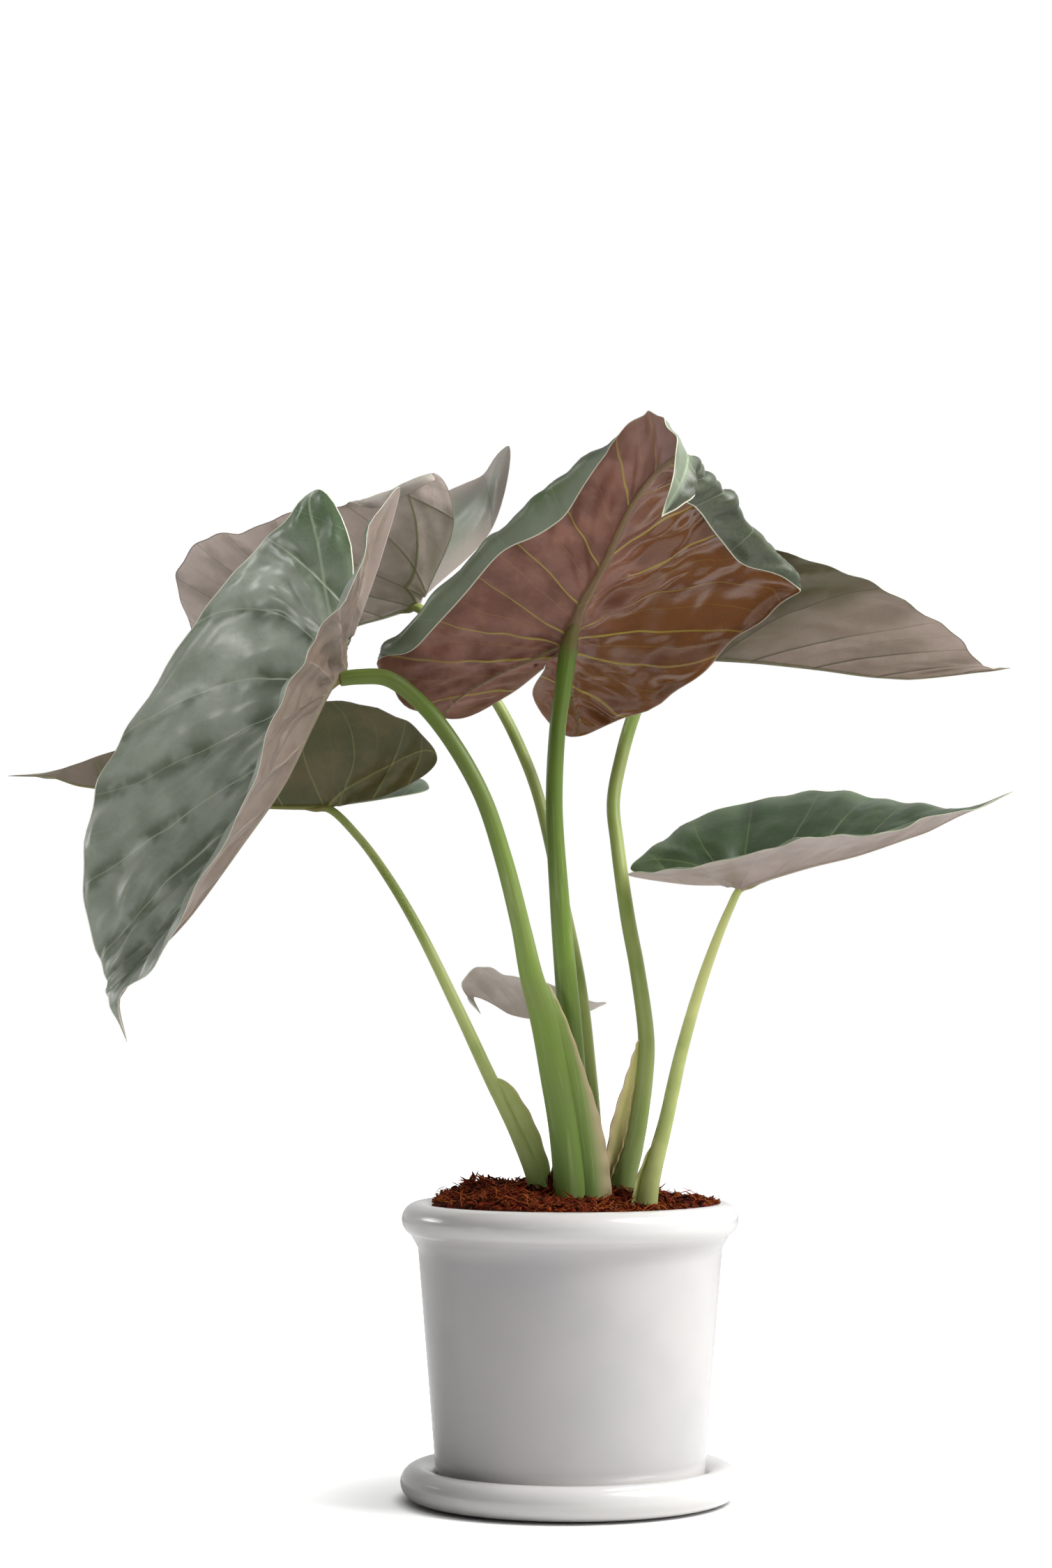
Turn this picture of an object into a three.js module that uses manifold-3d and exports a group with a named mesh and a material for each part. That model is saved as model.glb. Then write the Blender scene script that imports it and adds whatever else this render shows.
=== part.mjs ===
// A potted alocasia: seven arrow-shaped leaves on long stalks that rise from one corm,
// standing in coir inside a round-rimmed glazed pot on its saucer.
// Millimetres, +Z up. The origin is the centre of the saucer's flat underside, and -Y is the front.
import * as THREE from 'three';
import { mergeVertices } from 'three/addons/utils/BufferGeometryUtils.js';
import Module from 'manifold-3d';

const wasm = await Module();
wasm.setup();

// ---------------------------------------------------------------- driving dimensions
const GAP = 0.3;                 // clearance between pieces that touch
const BLADE_THICKNESS = 0.8;
const WING_THICKNESS = 1.2;

const RIM_RADIUS = 95.5;         // outermost point of the pot's rolled rim
const RIM_BEAD = 9.5;            // radius of the rolled rim's section
const POT_TOP = 167;
const MOUTH_RADIUS = 79.2;       // opening inside the rolled rim
const NECK_RADIUS = 86.6;        // wall just under the rim
const NECK_HEIGHT = 146;
const FOOT_RADIUS = 75.4;        // wall where it meets the foot
const WALL = 5;
const FLOOR = 6;
const DRAIN_RADIUS = 8;

const SAUCER_RADIUS = 96;
const SAUCER_BEAD = 9.5;
const SAUCER_FLOOR = 4;
const SAUCER_FOOT = 84;
const ROUND_SEGMENTS = 44;

const SOIL_EDGE = 163;           // height of the coir where it meets the pot
const CORM_TOP = 150.7;
const STALK_BASE = 151;          // the stalks end here, inside the coir

// ---------------------------------------------------------------- leaves
// Each blade is drawn between a spine and two margins, all points in millimetres.
// spine:  notch between the back lobes, top of the stalk, then the midrib out to the tip.
// left and right (of a walker going from the stalk to the tip on the upper face):
//         inner edge of the back lobe, end of the lobe, its shoulder, then the margin,
//         one point for each point of the spine.
// curlLeft and curlRight: width of the edge that is rolled under, from the lobe's end on.
// bow: how far each half bows up between spine and margin, as a share of its width.
const LEAVES = {
  front: {
    spine: [[-14, 10, 472], [-1, -4, 487], [7, -22, 505], [17, -46, 522], [32, -92, 551],
      [45, -128, 565], [60, -152, 572], [56, -163, 554], [46, -168, 536]],
    left: [[-21, 33, 457], [0, 52, 435], [30, 46, 444], [65, 36, 462], [105, 20, 497], [131, 0, 522],
      [109, -30, 540], [84, -78, 565], [71, -115, 569], [67, -145, 567], [62, -160, 547]],
    right: [[-36, 42, 458], [-66, 62, 446], [-94, 52, 454], [-110, 30, 479], [-97, 6, 493], [-46, -45, 538],
      [-8, -84, 568], [24, -130, 585], [41, -148, 595], [52, -160, 585], [52, -167, 559]],
    curlLeft: [0, 0, 0, 2, 4, 20, 21, 20, 14, 0, 0],
    curlRight: [0, 0, 3, 14, 9, 20, 3, 0, 0, 0, 0],
    bow: [0.04, 0.04],
    wave: 1.6,
    top: '#5d7358',
  },
  hanging: {
    spine: [[-123, -30, 484], [-129, -32, 468], [-136, -38, 455], [-145, -45, 435], [-160, -54, 402],
      [-183, -62, 367], [-209, -66, 330], [-237, -68, 295], [-245, -62, 259]],
    left: [[-107, -45, 526], [-95, -62, 566], [-110, -95, 539], [-122, -112, 501], [-137, -118, 478],
      [-146, -122, 464], [-157, -128, 437], [-175, -132, 391], [-198, -122, 346], [-224, -98, 305],
      [-248, -74, 282]],
    right: [[-125, -20, 543], [-143, -12, 572], [-166, -5, 553], [-193, 0, 524], [-218, 0, 493],
      [-249, -4, 440], [-270, -10, 400], [-275, -22, 354], [-266, -36, 311], [-258, -48, 291],
      [-255, -58, 280]],
    bow: [0.05, 0.05],
    wave: 1.6,
    top: '#60766a',
  },
  back_left: {
    spine: [[-84, 66, 520], [-90, 70, 515], [-108, 80, 509], [-125, 90, 505], [-157, 105, 494],
      [-188, 120, 485], [-219, 135, 477]],
    left: [[-67, 38, 561], [-77, 25, 586], [-109, 25, 576], [-132, 30, 569], [-162, 38, 565],
      [-191, 55, 557], [-217, 72, 553], [-234, 92, 536], [-230, 115, 510]],
    right: [[-45, 76, 561], [-35, 70, 609], [-55, 92, 594], [-108, 128, 577], [-143, 150, 574],
      [-174, 165, 565], [-203, 172, 555], [-222, 170, 537], [-227, 158, 507]],
    curlLeft: [5, 9, 0, 0, 0, 0, 0, 0, 0],
    curlRight: [0, 0, 0, 0, 0, 0, 0, 0, 0],
    bow: [-0.03, 0.05],
    wave: 1.5,
    top: '#7f756e',
  },
  right: {
    spine: [[45, 66, 488], [53, 68, 486], [80, 70, 483], [111, 73, 481], [149, 76, 477], [188, 79, 472],
      [228, 82, 472], [264, 84, 478]],
    left: [[32, 83, 510], [30, 106, 540], [68, 121, 552], [111, 130, 549], [143, 134, 540],
      [175, 132, 528], [204, 124, 512], [228, 112, 496], [245, 99, 482], [254, 89, 478]],
    right: [[28, 46, 510], [26, 28, 537], [66, 24, 547], [109, 28, 544], [141, 34, 537], [173, 42, 526],
      [202, 52, 512], [228, 64, 497], [244, 76, 481], [254, 82, 478]],
    bow: [0.06, 0.06],
    wave: 1.3,
    top: '#746c5c',
  },
  low_right: {
    spine: [[87, -19, 346], [96, -20, 345], [115, -24, 351], [136, -28, 357], [161, -32, 363],
      [188, -36, 372], [219, -40, 383], [247, -44, 398]],
    left: [[58, -8, 350], [35, 8, 356], [50, 22, 370], [70, 34, 385], [99, 42, 394], [126, 45, 401],
      [155, 42, 402], [182, 30, 398], [203, 10, 393], [224, -18, 389]],
    right: [[65, -40, 346], [31, -62, 351], [44, -78, 353], [68, -84, 354], [99, -88, 363], [125, -90, 369],
      [150, -88, 372], [179, -80, 375], [203, -68, 384], [227, -54, 389]],
    bow: [0.06, 0.06],
    wave: 1,
    top: '#46604c',
  },
  low_left: {
    spine: [[-132, 39, 394], [-142, 40, 393], [-169, 42, 393], [-202, 45, 395], [-235, 48, 400],
      [-278, 52, 405], [-305, 54, 409], [-329, 55, 412]],
    left: [[-103, 24, 400], [-76, 8, 419], [-93, 2, 440], [-118, -2, 450], [-144, -4, 451],
      [-174, -2, 448], [-207, 5, 443], [-240, 18, 434], [-280, 38, 420], [-304, 48, 414]],
    right: [[-107, 62, 399], [-83, 88, 406], [-94, 112, 416], [-124, 128, 419], [-159, 134, 419],
      [-193, 134, 419], [-226, 124, 418], [-261, 102, 415], [-292, 78, 411], [-311, 65, 412]],
    bow: [0.06, 0.06],
    wave: 1,
    top: '#5a5540',
  },
  young: {
    spine: [[-2, 72, 274], [-8, 74, 271], [-21, 76, 270], [-33, 80, 272], [-44, 84, 276], [-52, 88, 272]],
    left: [[8, 66, 274], [22, 57, 279], [10, 49, 280], [-7, 46, 289], [-21, 46, 292], [-37, 50, 296],
      [-52, 59, 300], [-63, 72, 290]],
    right: [[6, 80, 272], [19, 94, 277], [6, 106, 278], [-10, 112, 280], [-25, 114, 281], [-39, 112, 281],
      [-52, 104, 283], [-60, 94, 282]],
    bow: [0.05, 0.05],
    wave: 0.6,
    top: '#8b837d',
  },
};

// Stalks: [x, y, z, half width] from the corm up to the blade.
// wing: the open edge of the sheath, from the corm up, beside the same number of stalk points.
const STALKS = {
  front: {
    path: [[7, 8, 149, 9], [6, 8, 180, 8.5], [3, 6, 216, 7.5], [1, 3, 255, 6.8], [-2, 0, 290, 6.4],
      [-6, -4, 339, 5.6], [-9, -9, 392, 4.8], [-7, -10, 436, 4.7], [-4, -9, 458, 4.8], [-1, -8, 480, 5.4]],
  },
  hanging: {
    path: [[-0.3, -14, 149, 9.2], [-0.5, -15, 178, 9.2], [-3.7, -17, 209, 8.6], [-8.9, -19, 240, 8.4],
      [-15.3, -22, 272, 7.8], [-22, -24, 295, 6.6], [-28, -27, 323, 5.4], [-38, -30, 362, 5],
      [-50, -33, 397, 4.7], [-69, -35, 430, 4.6], [-86, -36, 450, 4.6], [-103, -36, 462, 4.6],
      [-119, -35, 463, 4.4], [-129, -33, 462, 4.2]],
    wing: [[23.5, -8, 149], [23, -9, 178], [18.2, -11, 209], [8.7, -14, 240], [-2.8, -19, 272],
      [-14.2, -22, 295]],
  },
  back_left: {
    path: [[14, 26, 149, 5.5], [14, 26, 199, 5], [11, 28, 244, 4.2], [6, 34, 290, 3.8], [-4, 44, 340, 3.6],
      [-18, 56, 401, 3.4], [-28, 62, 428, 3.4], [-41, 66, 454, 3.3], [-64, 69, 487, 3.1], [-90, 69, 513, 3]],
  },
  right: {
    path: [[27, 12, 149, 8.5], [30, 12, 176, 7.5], [37, 14, 200, 5.6], [43, 16, 239, 5], [44, 18, 259, 4.7],
      [39, 22, 299, 4.4], [34, 28, 327, 4.3], [28, 39, 372, 4], [26, 46, 396, 3.9], [31, 55, 423, 3.9],
      [39, 63, 450, 4], [53, 68, 484, 4]],
    wing: [[19, 8, 149], [20, 8, 178], [23, 8, 208], [33, 11, 240], [40, 15, 262]],
  },
  low_right: {
    path: [[42, -8, 149, 6.5], [45, -9, 177, 5.5], [54, -11, 213, 4.2], [63, -13, 253, 3.6],
      [76, -16, 297, 3], [90, -19, 333, 2.3], [96, -20, 344, 2.1]],
    wing: [[34, -12, 149], [36, -13, 177], [49, -14, 207]],
  },
  low_left: {
    path: [[-13, 0, 149, 7], [-18, 0, 177, 6], [-30, 2, 206, 4.6], [-45, 5, 236, 3.8], [-63, 12, 274, 3.4],
      [-87, 22, 322, 3], [-105, 30, 352, 2.7], [-122, 36, 375, 2.4], [-140, 39, 392, 2.3]],
    wing: [[-7, -2, 149], [-10, -3, 180], [-21, -2, 214], [-38, 3, 240]],
  },
  young: {
    path: [[-1, 28, 149, 3.4], [0, 29, 179, 3], [1, 37, 215, 2.5], [-2, 55, 248, 2.2], [-8, 73, 270, 2]],
  },
};

// ---------------------------------------------------------------- small geometry tools
const { sin, cos, PI, min, max, hypot } = Math;
const clamp = THREE.MathUtils.clamp;

// A smooth curve through points, asked for by point number: curve(1.5) lies between points 1 and 2.
function curveThrough(points) {
  const path = new THREE.CatmullRomCurve3(points.map((p) => new THREE.Vector3(...p)), false, 'centripetal');
  return (index) => path.getPoint(clamp(index / (points.length - 1), 0, 1));
}

function valueAlong(values, index) {
  const i = clamp(Math.floor(index), 0, values.length - 2);
  return THREE.MathUtils.lerp(values[i], values[i + 1], clamp(index - i, 0, 1));
}

// A geometry with only positions and faces, its doubled points joined and its empty faces dropped.
function welded(positions, faces) {
  let geometry = new THREE.BufferGeometry();
  geometry.setAttribute('position', new THREE.Float32BufferAttribute(positions, 3));
  geometry.setIndex(faces);
  geometry = mergeVertices(geometry, 1e-3);
  const index = geometry.index.array;
  const kept = [];
  for (let f = 0; f < index.length; f += 3) {
    const [a, b, c] = [index[f], index[f + 1], index[f + 2]];
    if (a !== b && b !== c && c !== a) kept.push(a, b, c);
  }
  geometry.setIndex(kept);
  return geometry;
}

// Faces of a grid of points, each square split along the same diagonal.
function gridFaces(rows, columns, start, turned) {
  const faces = [];
  for (let r = 0; r < rows - 1; r++) {
    for (let c = 0; c < columns - 1; c++) {
      const a = start + r * columns + c;
      const [b, d, e] = [a + 1, a + columns, a + columns + 1];
      if (turned) faces.push(a, d, e, a, e, b);
      else faces.push(a, e, d, a, b, e);
    }
  }
  return faces;
}

// Gives an open sheet its thickness: both faces are the same triangles, moved along the normals,
// and a strip of faces closes every free edge.
function thickened(sheet, thickness) {
  const open = sheet.clone();
  open.computeVertexNormals();
  const place = open.attributes.position;
  const normal = open.attributes.normal;
  const index = open.index.array;
  const count = place.count;
  const points = [];
  for (const side of [0.5, -0.5]) {
    for (let i = 0; i < count; i++) {
      points.push(place.getX(i) + normal.getX(i) * thickness * side,
        place.getY(i) + normal.getY(i) * thickness * side,
        place.getZ(i) + normal.getZ(i) * thickness * side);
    }
  }
  const faces = [];
  const edges = new Map();
  for (let f = 0; f < index.length; f += 3) {
    const corner = [index[f], index[f + 1], index[f + 2]];
    faces.push(...corner, corner[0] + count, corner[2] + count, corner[1] + count);
    for (let k = 0; k < 3; k++) {
      const [from, to] = [corner[k], corner[(k + 1) % 3]];
      if (edges.has(`${to},${from}`)) edges.delete(`${to},${from}`);
      else edges.set(`${from},${to}`, [from, to]);
    }
  }
  for (const [from, to] of edges.values()) {
    faces.push(from, from + count, to, to, from + count, to + count);
  }
  const solid = new THREE.BufferGeometry();
  solid.setAttribute('position', new THREE.Float32BufferAttribute(points, 3));
  solid.setIndex(faces);
  return solid;
}

function toManifold(geometry) {
  const bare = geometry.clone();
  bare.deleteAttribute('normal');
  bare.deleteAttribute('uv');
  const joined = mergeVertices(bare, 1e-3);
  return new wasm.Manifold(new wasm.Mesh({
    numProp: 3,
    vertProperties: new Float32Array(joined.attributes.position.array),
    triVerts: new Uint32Array(joined.index.array),
  }));
}

function toGeometry(manifold) {
  const mesh = manifold.getMesh();
  const geometry = new THREE.BufferGeometry();
  geometry.setAttribute('position', new THREE.Float32BufferAttribute(mesh.vertProperties, 3));
  geometry.setIndex(Array.from(mesh.triVerts));
  return geometry;
}

// The largest body that a cut leaves: loose scraps are dropped.
function largestBody(manifold) {
  return manifold.decompose().sort((a, b) => b.volume() - a.volume())[0];
}

// ---------------------------------------------------------------- blades
const ROLL_RADIUS = 3.5;
const ROLL_TURN = (165 * PI) / 180;
const FULL_ROLL = 5;             // a curl at least this wide turns the whole way round
const WAVES_PER_ROW = 0.45;

// Row numbers run from the lobe's end (0) past the notch (2) and the stalk (3) to the tip.
function bladeRows(last) {
  const rows = [0, 0.15, 0.4, 0.7];
  for (let u = 1; u < last - 0.9; u += 0.5) rows.push(u);
  return [...rows, last - 0.6, last - 0.3, last - 0.12, last];
}

const PLAIN_COLUMNS = [0, 0.3, 0.6, 0.85, 1];
const ROLLED_COLUMNS = [0, 0.26, 0.5, 0.68, 0.78, 0.86, 0.93, 1];

// One half of a blade as a grid. Each row crosses from the spine to the margin as a flat strip that
// bows up a little, waves near its edge and, where there is curl, turns under round a small radius.
function halfBlade(leaf, hand, rows, columns) {
  const margin = leaf[hand];
  const loop = curveThrough([leaf.spine[0], ...margin, leaf.spine.at(-1)]);
  const spine = curveThrough(leaf.spine);
  const last = leaf.spine.length + 1;
  const inner = (u) => (u < 2 ? loop(2 - u) : spine(u - 2));
  const outer = (u) => loop(2 + u);
  const curl = leaf[hand === 'left' ? 'curlLeft' : 'curlRight'];
  const bow = leaf.bow[hand === 'left' ? 0 : 1];
  const points = [];
  for (const u of rows) {
    const from = inner(u);
    const across = outer(u).sub(from);
    const width = across.length();
    const inside = clamp(u, 0.35, last - 0.3);
    const step = 0.02;
    const along = inner(inside + step).sub(inner(inside - step))
      .add(outer(inside + step)).sub(outer(inside - step));
    const up = along.cross(outer(inside).sub(inner(inside))).normalize();
    if (hand === 'right') up.negate();
    across.normalize();
    const rolled = curl ? min(valueAlong(curl, u), 0.6 * width) : 0;
    const turned = clamp(rolled / FULL_ROLL, 0, 1);
    const radius = clamp(rolled / 2, 0.6, ROLL_RADIUS);
    const turn = ROLL_TURN * turned;
    const flap = max(rolled - radius, 0);
    const flat = max(width - radius * turned, 0);
    const length = flat + radius * turn + flap;
    const fade = min(1, (last - u) / 2) * min(1, u);
    for (const column of columns) {
      const walked = column * length;
      const angle = clamp((walked - flat) / radius, 0, turn);
      const rest = max(walked - flat - radius * turn, 0);
      const reach = min(walked, flat) + radius * sin(angle) + rest * cos(turn);
      const share = clamp(width > 0 ? reach / width : 0, 0, 1);
      const rise = width * bow * 4 * share * (1 - share)
        - radius * (1 - cos(angle)) - rest * sin(turn)
        + leaf.wave * fade * share ** 3 * sin(2 * PI * WAVES_PER_ROW * u + (hand === 'left' ? 0 : 2));
      points.push(...from.clone().addScaledVector(across, reach).addScaledVector(up, rise).toArray());
    }
  }
  return points;
}

function bladeSheet(leaf) {
  const rows = bladeRows(leaf.spine.length + 1);
  const columns = leaf.curlLeft ? ROLLED_COLUMNS : PLAIN_COLUMNS;
  const left = halfBlade(leaf, 'left', rows, columns);
  const right = halfBlade(leaf, 'right', rows, columns);
  const faces = [
    ...gridFaces(rows.length, columns.length, 0, true),
    ...gridFaces(rows.length, columns.length, left.length / 3, false),
  ];
  return welded([...left, ...right], faces);
}

// ---------------------------------------------------------------- stalks
const STALK_SIDES = 8;
const STALK_STEPS_PER_POINT = 2;

// A tube with an oval section along the stalk's points; grow makes the hole that it stands in.
function stalkTube(path, grow) {
  const centre = curveThrough(path.map((p) => p.slice(0, 3)));
  const halfWidths = path.map((p) => p[3]);
  const steps = (path.length - 1) * STALK_STEPS_PER_POINT;
  const positions = [];
  for (let k = 0; k <= steps; k++) {
    const index = k / STALK_STEPS_PER_POINT;
    const middle = centre(index);
    const along = centre(index + 0.05).sub(centre(index - 0.05)).normalize();
    const side = new THREE.Vector3(0, 1, 0).cross(along).normalize();
    const deep = along.clone().cross(side);
    const halfWidth = valueAlong(halfWidths, index);
    const halfDepth = min(halfWidth, 0.55 * halfWidth + 2.2);
    for (let s = 0; s < STALK_SIDES; s++) {
      const turn = (2 * PI * s) / STALK_SIDES;
      positions.push(...middle.clone().addScaledVector(side, (halfWidth + grow) * cos(turn))
        .addScaledVector(deep, (halfDepth + grow) * sin(turn)).toArray());
    }
  }
  const faces = [];
  for (let k = 0; k < steps; k++) {
    for (let s = 0; s < STALK_SIDES; s++) {
      const next = (s + 1) % STALK_SIDES;
      const [a, b] = [k * STALK_SIDES + s, k * STALK_SIDES + next];
      faces.push(a, b, b + STALK_SIDES, a, b + STALK_SIDES, a + STALK_SIDES);
    }
  }
  const top = steps * STALK_SIDES;
  for (let s = 1; s < STALK_SIDES - 1; s++) {
    faces.push(0, s + 1, s, top, top + s, top + s + 1);
  }
  return toManifold(welded(positions, faces));
}

// The thin open edge of a sheath, from inside the stalk out to the wing's edge.
function wingPlate(path, edge, grow) {
  const inner = curveThrough(path.slice(0, edge.length).map((p) => p.slice(0, 3)));
  const outer = curveThrough(edge);
  const rows = (edge.length - 1) * 2 + 1;
  const columns = 3;
  const points = [];
  for (let r = 0; r < rows; r++) {
    const [from, to] = [inner(r / 2), outer(r / 2)];
    for (let c = 0; c < columns; c++) {
      points.push(...from.clone().lerp(to, (c / (columns - 1)) * (1 + grow / 10)).toArray());
    }
  }
  const sheet = welded(points, gridFaces(rows, columns, 0, true));
  return toManifold(thickened(sheet, WING_THICKNESS + 2 * grow));
}

function stalkSolid({ path, wing }, grow) {
  const tube = stalkTube(path, grow);
  const whole = wing ? tube.add(wingPlate(path, wing, grow)) : tube;
  return whole.trimByPlane([0, 0, 1], STALK_BASE - grow);
}

// ---------------------------------------------------------------- pot, saucer, coir, corm
const lathe = (profile) => {
  const outline = profile.map(([r, z]) => new THREE.Vector2(r, z));
  return new THREE.LatheGeometry(outline, ROUND_SEGMENTS).rotateX(PI / 2);
};

// Points of a round stretch of a profile, angles in degrees from straight outwards.
function arc(radius, centreR, centreZ, from, to, steps) {
  const points = [];
  for (let k = 0; k <= steps; k++) {
    const turn = ((from + ((to - from) * k) / steps) * PI) / 180;
    points.push([centreR + radius * cos(turn), centreZ + radius * sin(turn)]);
  }
  return points;
}

function potProfile() {
  const standing = SAUCER_FLOOR + GAP;
  const crest = RIM_RADIUS - RIM_BEAD;
  const wallTop = [NECK_RADIUS - WALL, NECK_HEIGHT];
  return [
    [DRAIN_RADIUS, standing + FLOOR],
    [DRAIN_RADIUS, standing],
    [FOOT_RADIUS - 2.5, standing],
    [FOOT_RADIUS, standing + 2.5],
    [NECK_RADIUS, NECK_HEIGHT],
    ...arc(RIM_BEAD, crest, POT_TOP - RIM_BEAD, -62, 135, 12),
    [MOUTH_RADIUS, POT_TOP - RIM_BEAD],
    wallTop,
    [FOOT_RADIUS - WALL, standing + FLOOR + 4],
    [FOOT_RADIUS - WALL - 4, standing + FLOOR],
    [DRAIN_RADIUS, standing + FLOOR],
  ];
}

function saucerProfile() {
  const crest = SAUCER_RADIUS - SAUCER_BEAD;
  return [
    [0, 0],
    [SAUCER_FOOT, 0],
    ...arc(SAUCER_BEAD, crest, SAUCER_BEAD + 0.6, -78, 150, 13),
    [77.2, SAUCER_FLOOR + 3],
    [76.2, SAUCER_FLOOR],
    [0, SAUCER_FLOOR],
  ];
}

// Height of the coir above its edge: a broad mound, higher to the left, with lumps in it.
function moundHeight(x, y, share) {
  const dome = (1 - share ** 2) ** 0.7;
  const lean = 11 - 0.035 * x - 0.02 * y;
  const lumps = 1.7 * sin(0.19 * x + 1.1) * sin(0.23 * y + 0.4) + 1.2 * sin(0.41 * x - 0.33 * y)
    + 0.9 * sin(0.52 * y + 0.31 * x + 2);
  return dome * lean + lumps * min(1, (1 - share) * 4);
}

// The coir fills the pot: a round grid for the mounded top, then down the wall and across the floor.
function soilGeometry() {
  const mouth = MOUTH_RADIUS - GAP;
  const standing = SAUCER_FLOOR + GAP;
  const sides = ROUND_SEGMENTS;
  const rings = [0.14, 0.28, 0.42, 0.56, 0.7, 0.82, 0.92, 1];
  const shell = [
    ...rings.map((share) => ({ radius: mouth * share, share })),
    { radius: mouth, z: POT_TOP - RIM_BEAD },
    { radius: NECK_RADIUS - WALL - GAP - 0.2, z: NECK_HEIGHT },
    { radius: FOOT_RADIUS - WALL - GAP - 0.3, z: standing + FLOOR + 4 },
    { radius: FOOT_RADIUS - WALL - 4 - GAP, z: standing + FLOOR + GAP },
  ];
  const points = [0, 0, SOIL_EDGE + moundHeight(0, 0, 0), 0, 0, standing + FLOOR + GAP];
  for (const { radius, share, z } of shell) {
    for (let s = 0; s < sides; s++) {
      const [x, y] = [radius * cos((2 * PI * s) / sides), radius * sin((2 * PI * s) / sides)];
      points.push(x, y, z ?? SOIL_EDGE + moundHeight(x, y, share));
    }
  }
  const faces = [];
  const at = (ring, s) => 2 + ring * sides + (s % sides);
  for (let s = 0; s < sides; s++) {
    faces.push(0, at(0, s), at(0, s + 1));
    faces.push(1, at(shell.length - 1, s + 1), at(shell.length - 1, s));
    for (let ring = 0; ring < shell.length - 1; ring++) {
      faces.push(at(ring, s), at(ring + 1, s), at(ring + 1, s + 1));
      faces.push(at(ring, s), at(ring + 1, s + 1), at(ring, s + 1));
    }
  }
  const geometry = new THREE.BufferGeometry();
  geometry.setAttribute('position', new THREE.Float32BufferAttribute(points, 3));
  geometry.setIndex(faces);
  return geometry;
}

// The corm is a blunt turnip of a stem, wider at the top where the stalks spring from it.
function cormGeometry(grow) {
  const outline = [[0, 98], [10, 102], [19, 114], [26, 130], [30, 144], [29, CORM_TOP - 1], [27, CORM_TOP]];
  const profile = outline.map(([r, z]) => [r > 0 ? r + grow : 0, z < CORM_TOP - 2 ? z - grow : z + grow]);
  const shape = [...profile, [0, CORM_TOP + grow]].map(([r, z]) => new THREE.Vector2(r, z));
  return new THREE.LatheGeometry(shape, 20).rotateX(PI / 2).translate(12, 6, 0);
}

// ---------------------------------------------------------------- the plant in its pot
const finishes = {
  ceramic: new THREE.MeshStandardMaterial({ color: '#dfdedb', roughness: 0.18 }),
  coir: new THREE.MeshStandardMaterial({ color: '#5a2c1c', roughness: 0.95 }),
  corm: new THREE.MeshStandardMaterial({ color: '#6b4a33', roughness: 0.9 }),
  stalk: new THREE.MeshStandardMaterial({ color: '#6d9146', roughness: 0.45 }),
};

const plant = new THREE.Group();

function add(name, geometry, material) {
  const mesh = new THREE.Mesh(geometry, material);
  mesh.name = name;
  plant.add(mesh);
}

add('saucer', lathe(saucerProfile()), finishes.ceramic);
add('pot', lathe(potProfile()), finishes.ceramic);

let soil = toManifold(soilGeometry()).subtract(toManifold(cormGeometry(GAP)));
for (const [name, leaf] of Object.entries(LEAVES)) {
  const sheet = bladeSheet(leaf);
  const material = new THREE.MeshStandardMaterial({ color: leaf.top, roughness: 0.42 });
  add(`blade_${name}`, thickened(sheet, BLADE_THICKNESS), material);
  const clearance = toManifold(thickened(sheet, BLADE_THICKNESS + 2 * GAP));
  const stalk = largestBody(stalkSolid(STALKS[name], 0).subtract(clearance));
  add(`stalk_${name}`, toGeometry(stalk), finishes.stalk);
  soil = soil.subtract(stalkSolid(STALKS[name], GAP));
}
add('soil', toGeometry(largestBody(soil)), finishes.coir);
add('corm', cormGeometry(0), finishes.corm);

export default plant;
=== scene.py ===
# %% [markdown]
# # A potted alocasia
# Seven arrow-shaped leaves stand on long green stalks that rise from one corm. The upper faces are
# grey-green and glossy, the undersides taupe or bronze with raised veins, and some edges roll under.
# The plant stands in coir, in a white glazed pot with a rolled rim, on a saucer with the same rim.
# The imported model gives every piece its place, and each one is worked out here as a finer surface.

import bpy
import numpy as np
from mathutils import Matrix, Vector


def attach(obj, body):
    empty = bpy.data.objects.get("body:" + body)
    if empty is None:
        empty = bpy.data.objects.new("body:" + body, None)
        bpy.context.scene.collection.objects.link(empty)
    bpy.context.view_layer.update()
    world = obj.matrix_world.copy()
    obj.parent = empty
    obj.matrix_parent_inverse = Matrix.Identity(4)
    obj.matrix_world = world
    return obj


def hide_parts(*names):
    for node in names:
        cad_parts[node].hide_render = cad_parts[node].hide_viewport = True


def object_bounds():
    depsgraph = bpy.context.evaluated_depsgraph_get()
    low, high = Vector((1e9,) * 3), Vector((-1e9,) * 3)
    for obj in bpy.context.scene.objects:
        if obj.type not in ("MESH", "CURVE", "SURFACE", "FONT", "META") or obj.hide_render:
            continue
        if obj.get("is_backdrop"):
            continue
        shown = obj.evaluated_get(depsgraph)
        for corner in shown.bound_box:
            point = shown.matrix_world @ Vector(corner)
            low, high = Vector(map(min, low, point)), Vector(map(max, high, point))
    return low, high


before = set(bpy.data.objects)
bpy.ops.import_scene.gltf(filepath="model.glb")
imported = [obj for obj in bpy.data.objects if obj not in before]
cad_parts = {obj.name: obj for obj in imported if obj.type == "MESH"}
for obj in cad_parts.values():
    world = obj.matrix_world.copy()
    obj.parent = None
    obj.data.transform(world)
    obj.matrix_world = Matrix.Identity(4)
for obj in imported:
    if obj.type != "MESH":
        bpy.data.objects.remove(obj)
cad_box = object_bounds()
MM = 0.001
print("nodes:", ", ".join(sorted(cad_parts)))

# %% [markdown]
# ## Camera
# A long lens from about two metres keeps the pot's rims flat ellipses. The camera stands at the
# height of the middle of the plant and looks up by three degrees.

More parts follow.
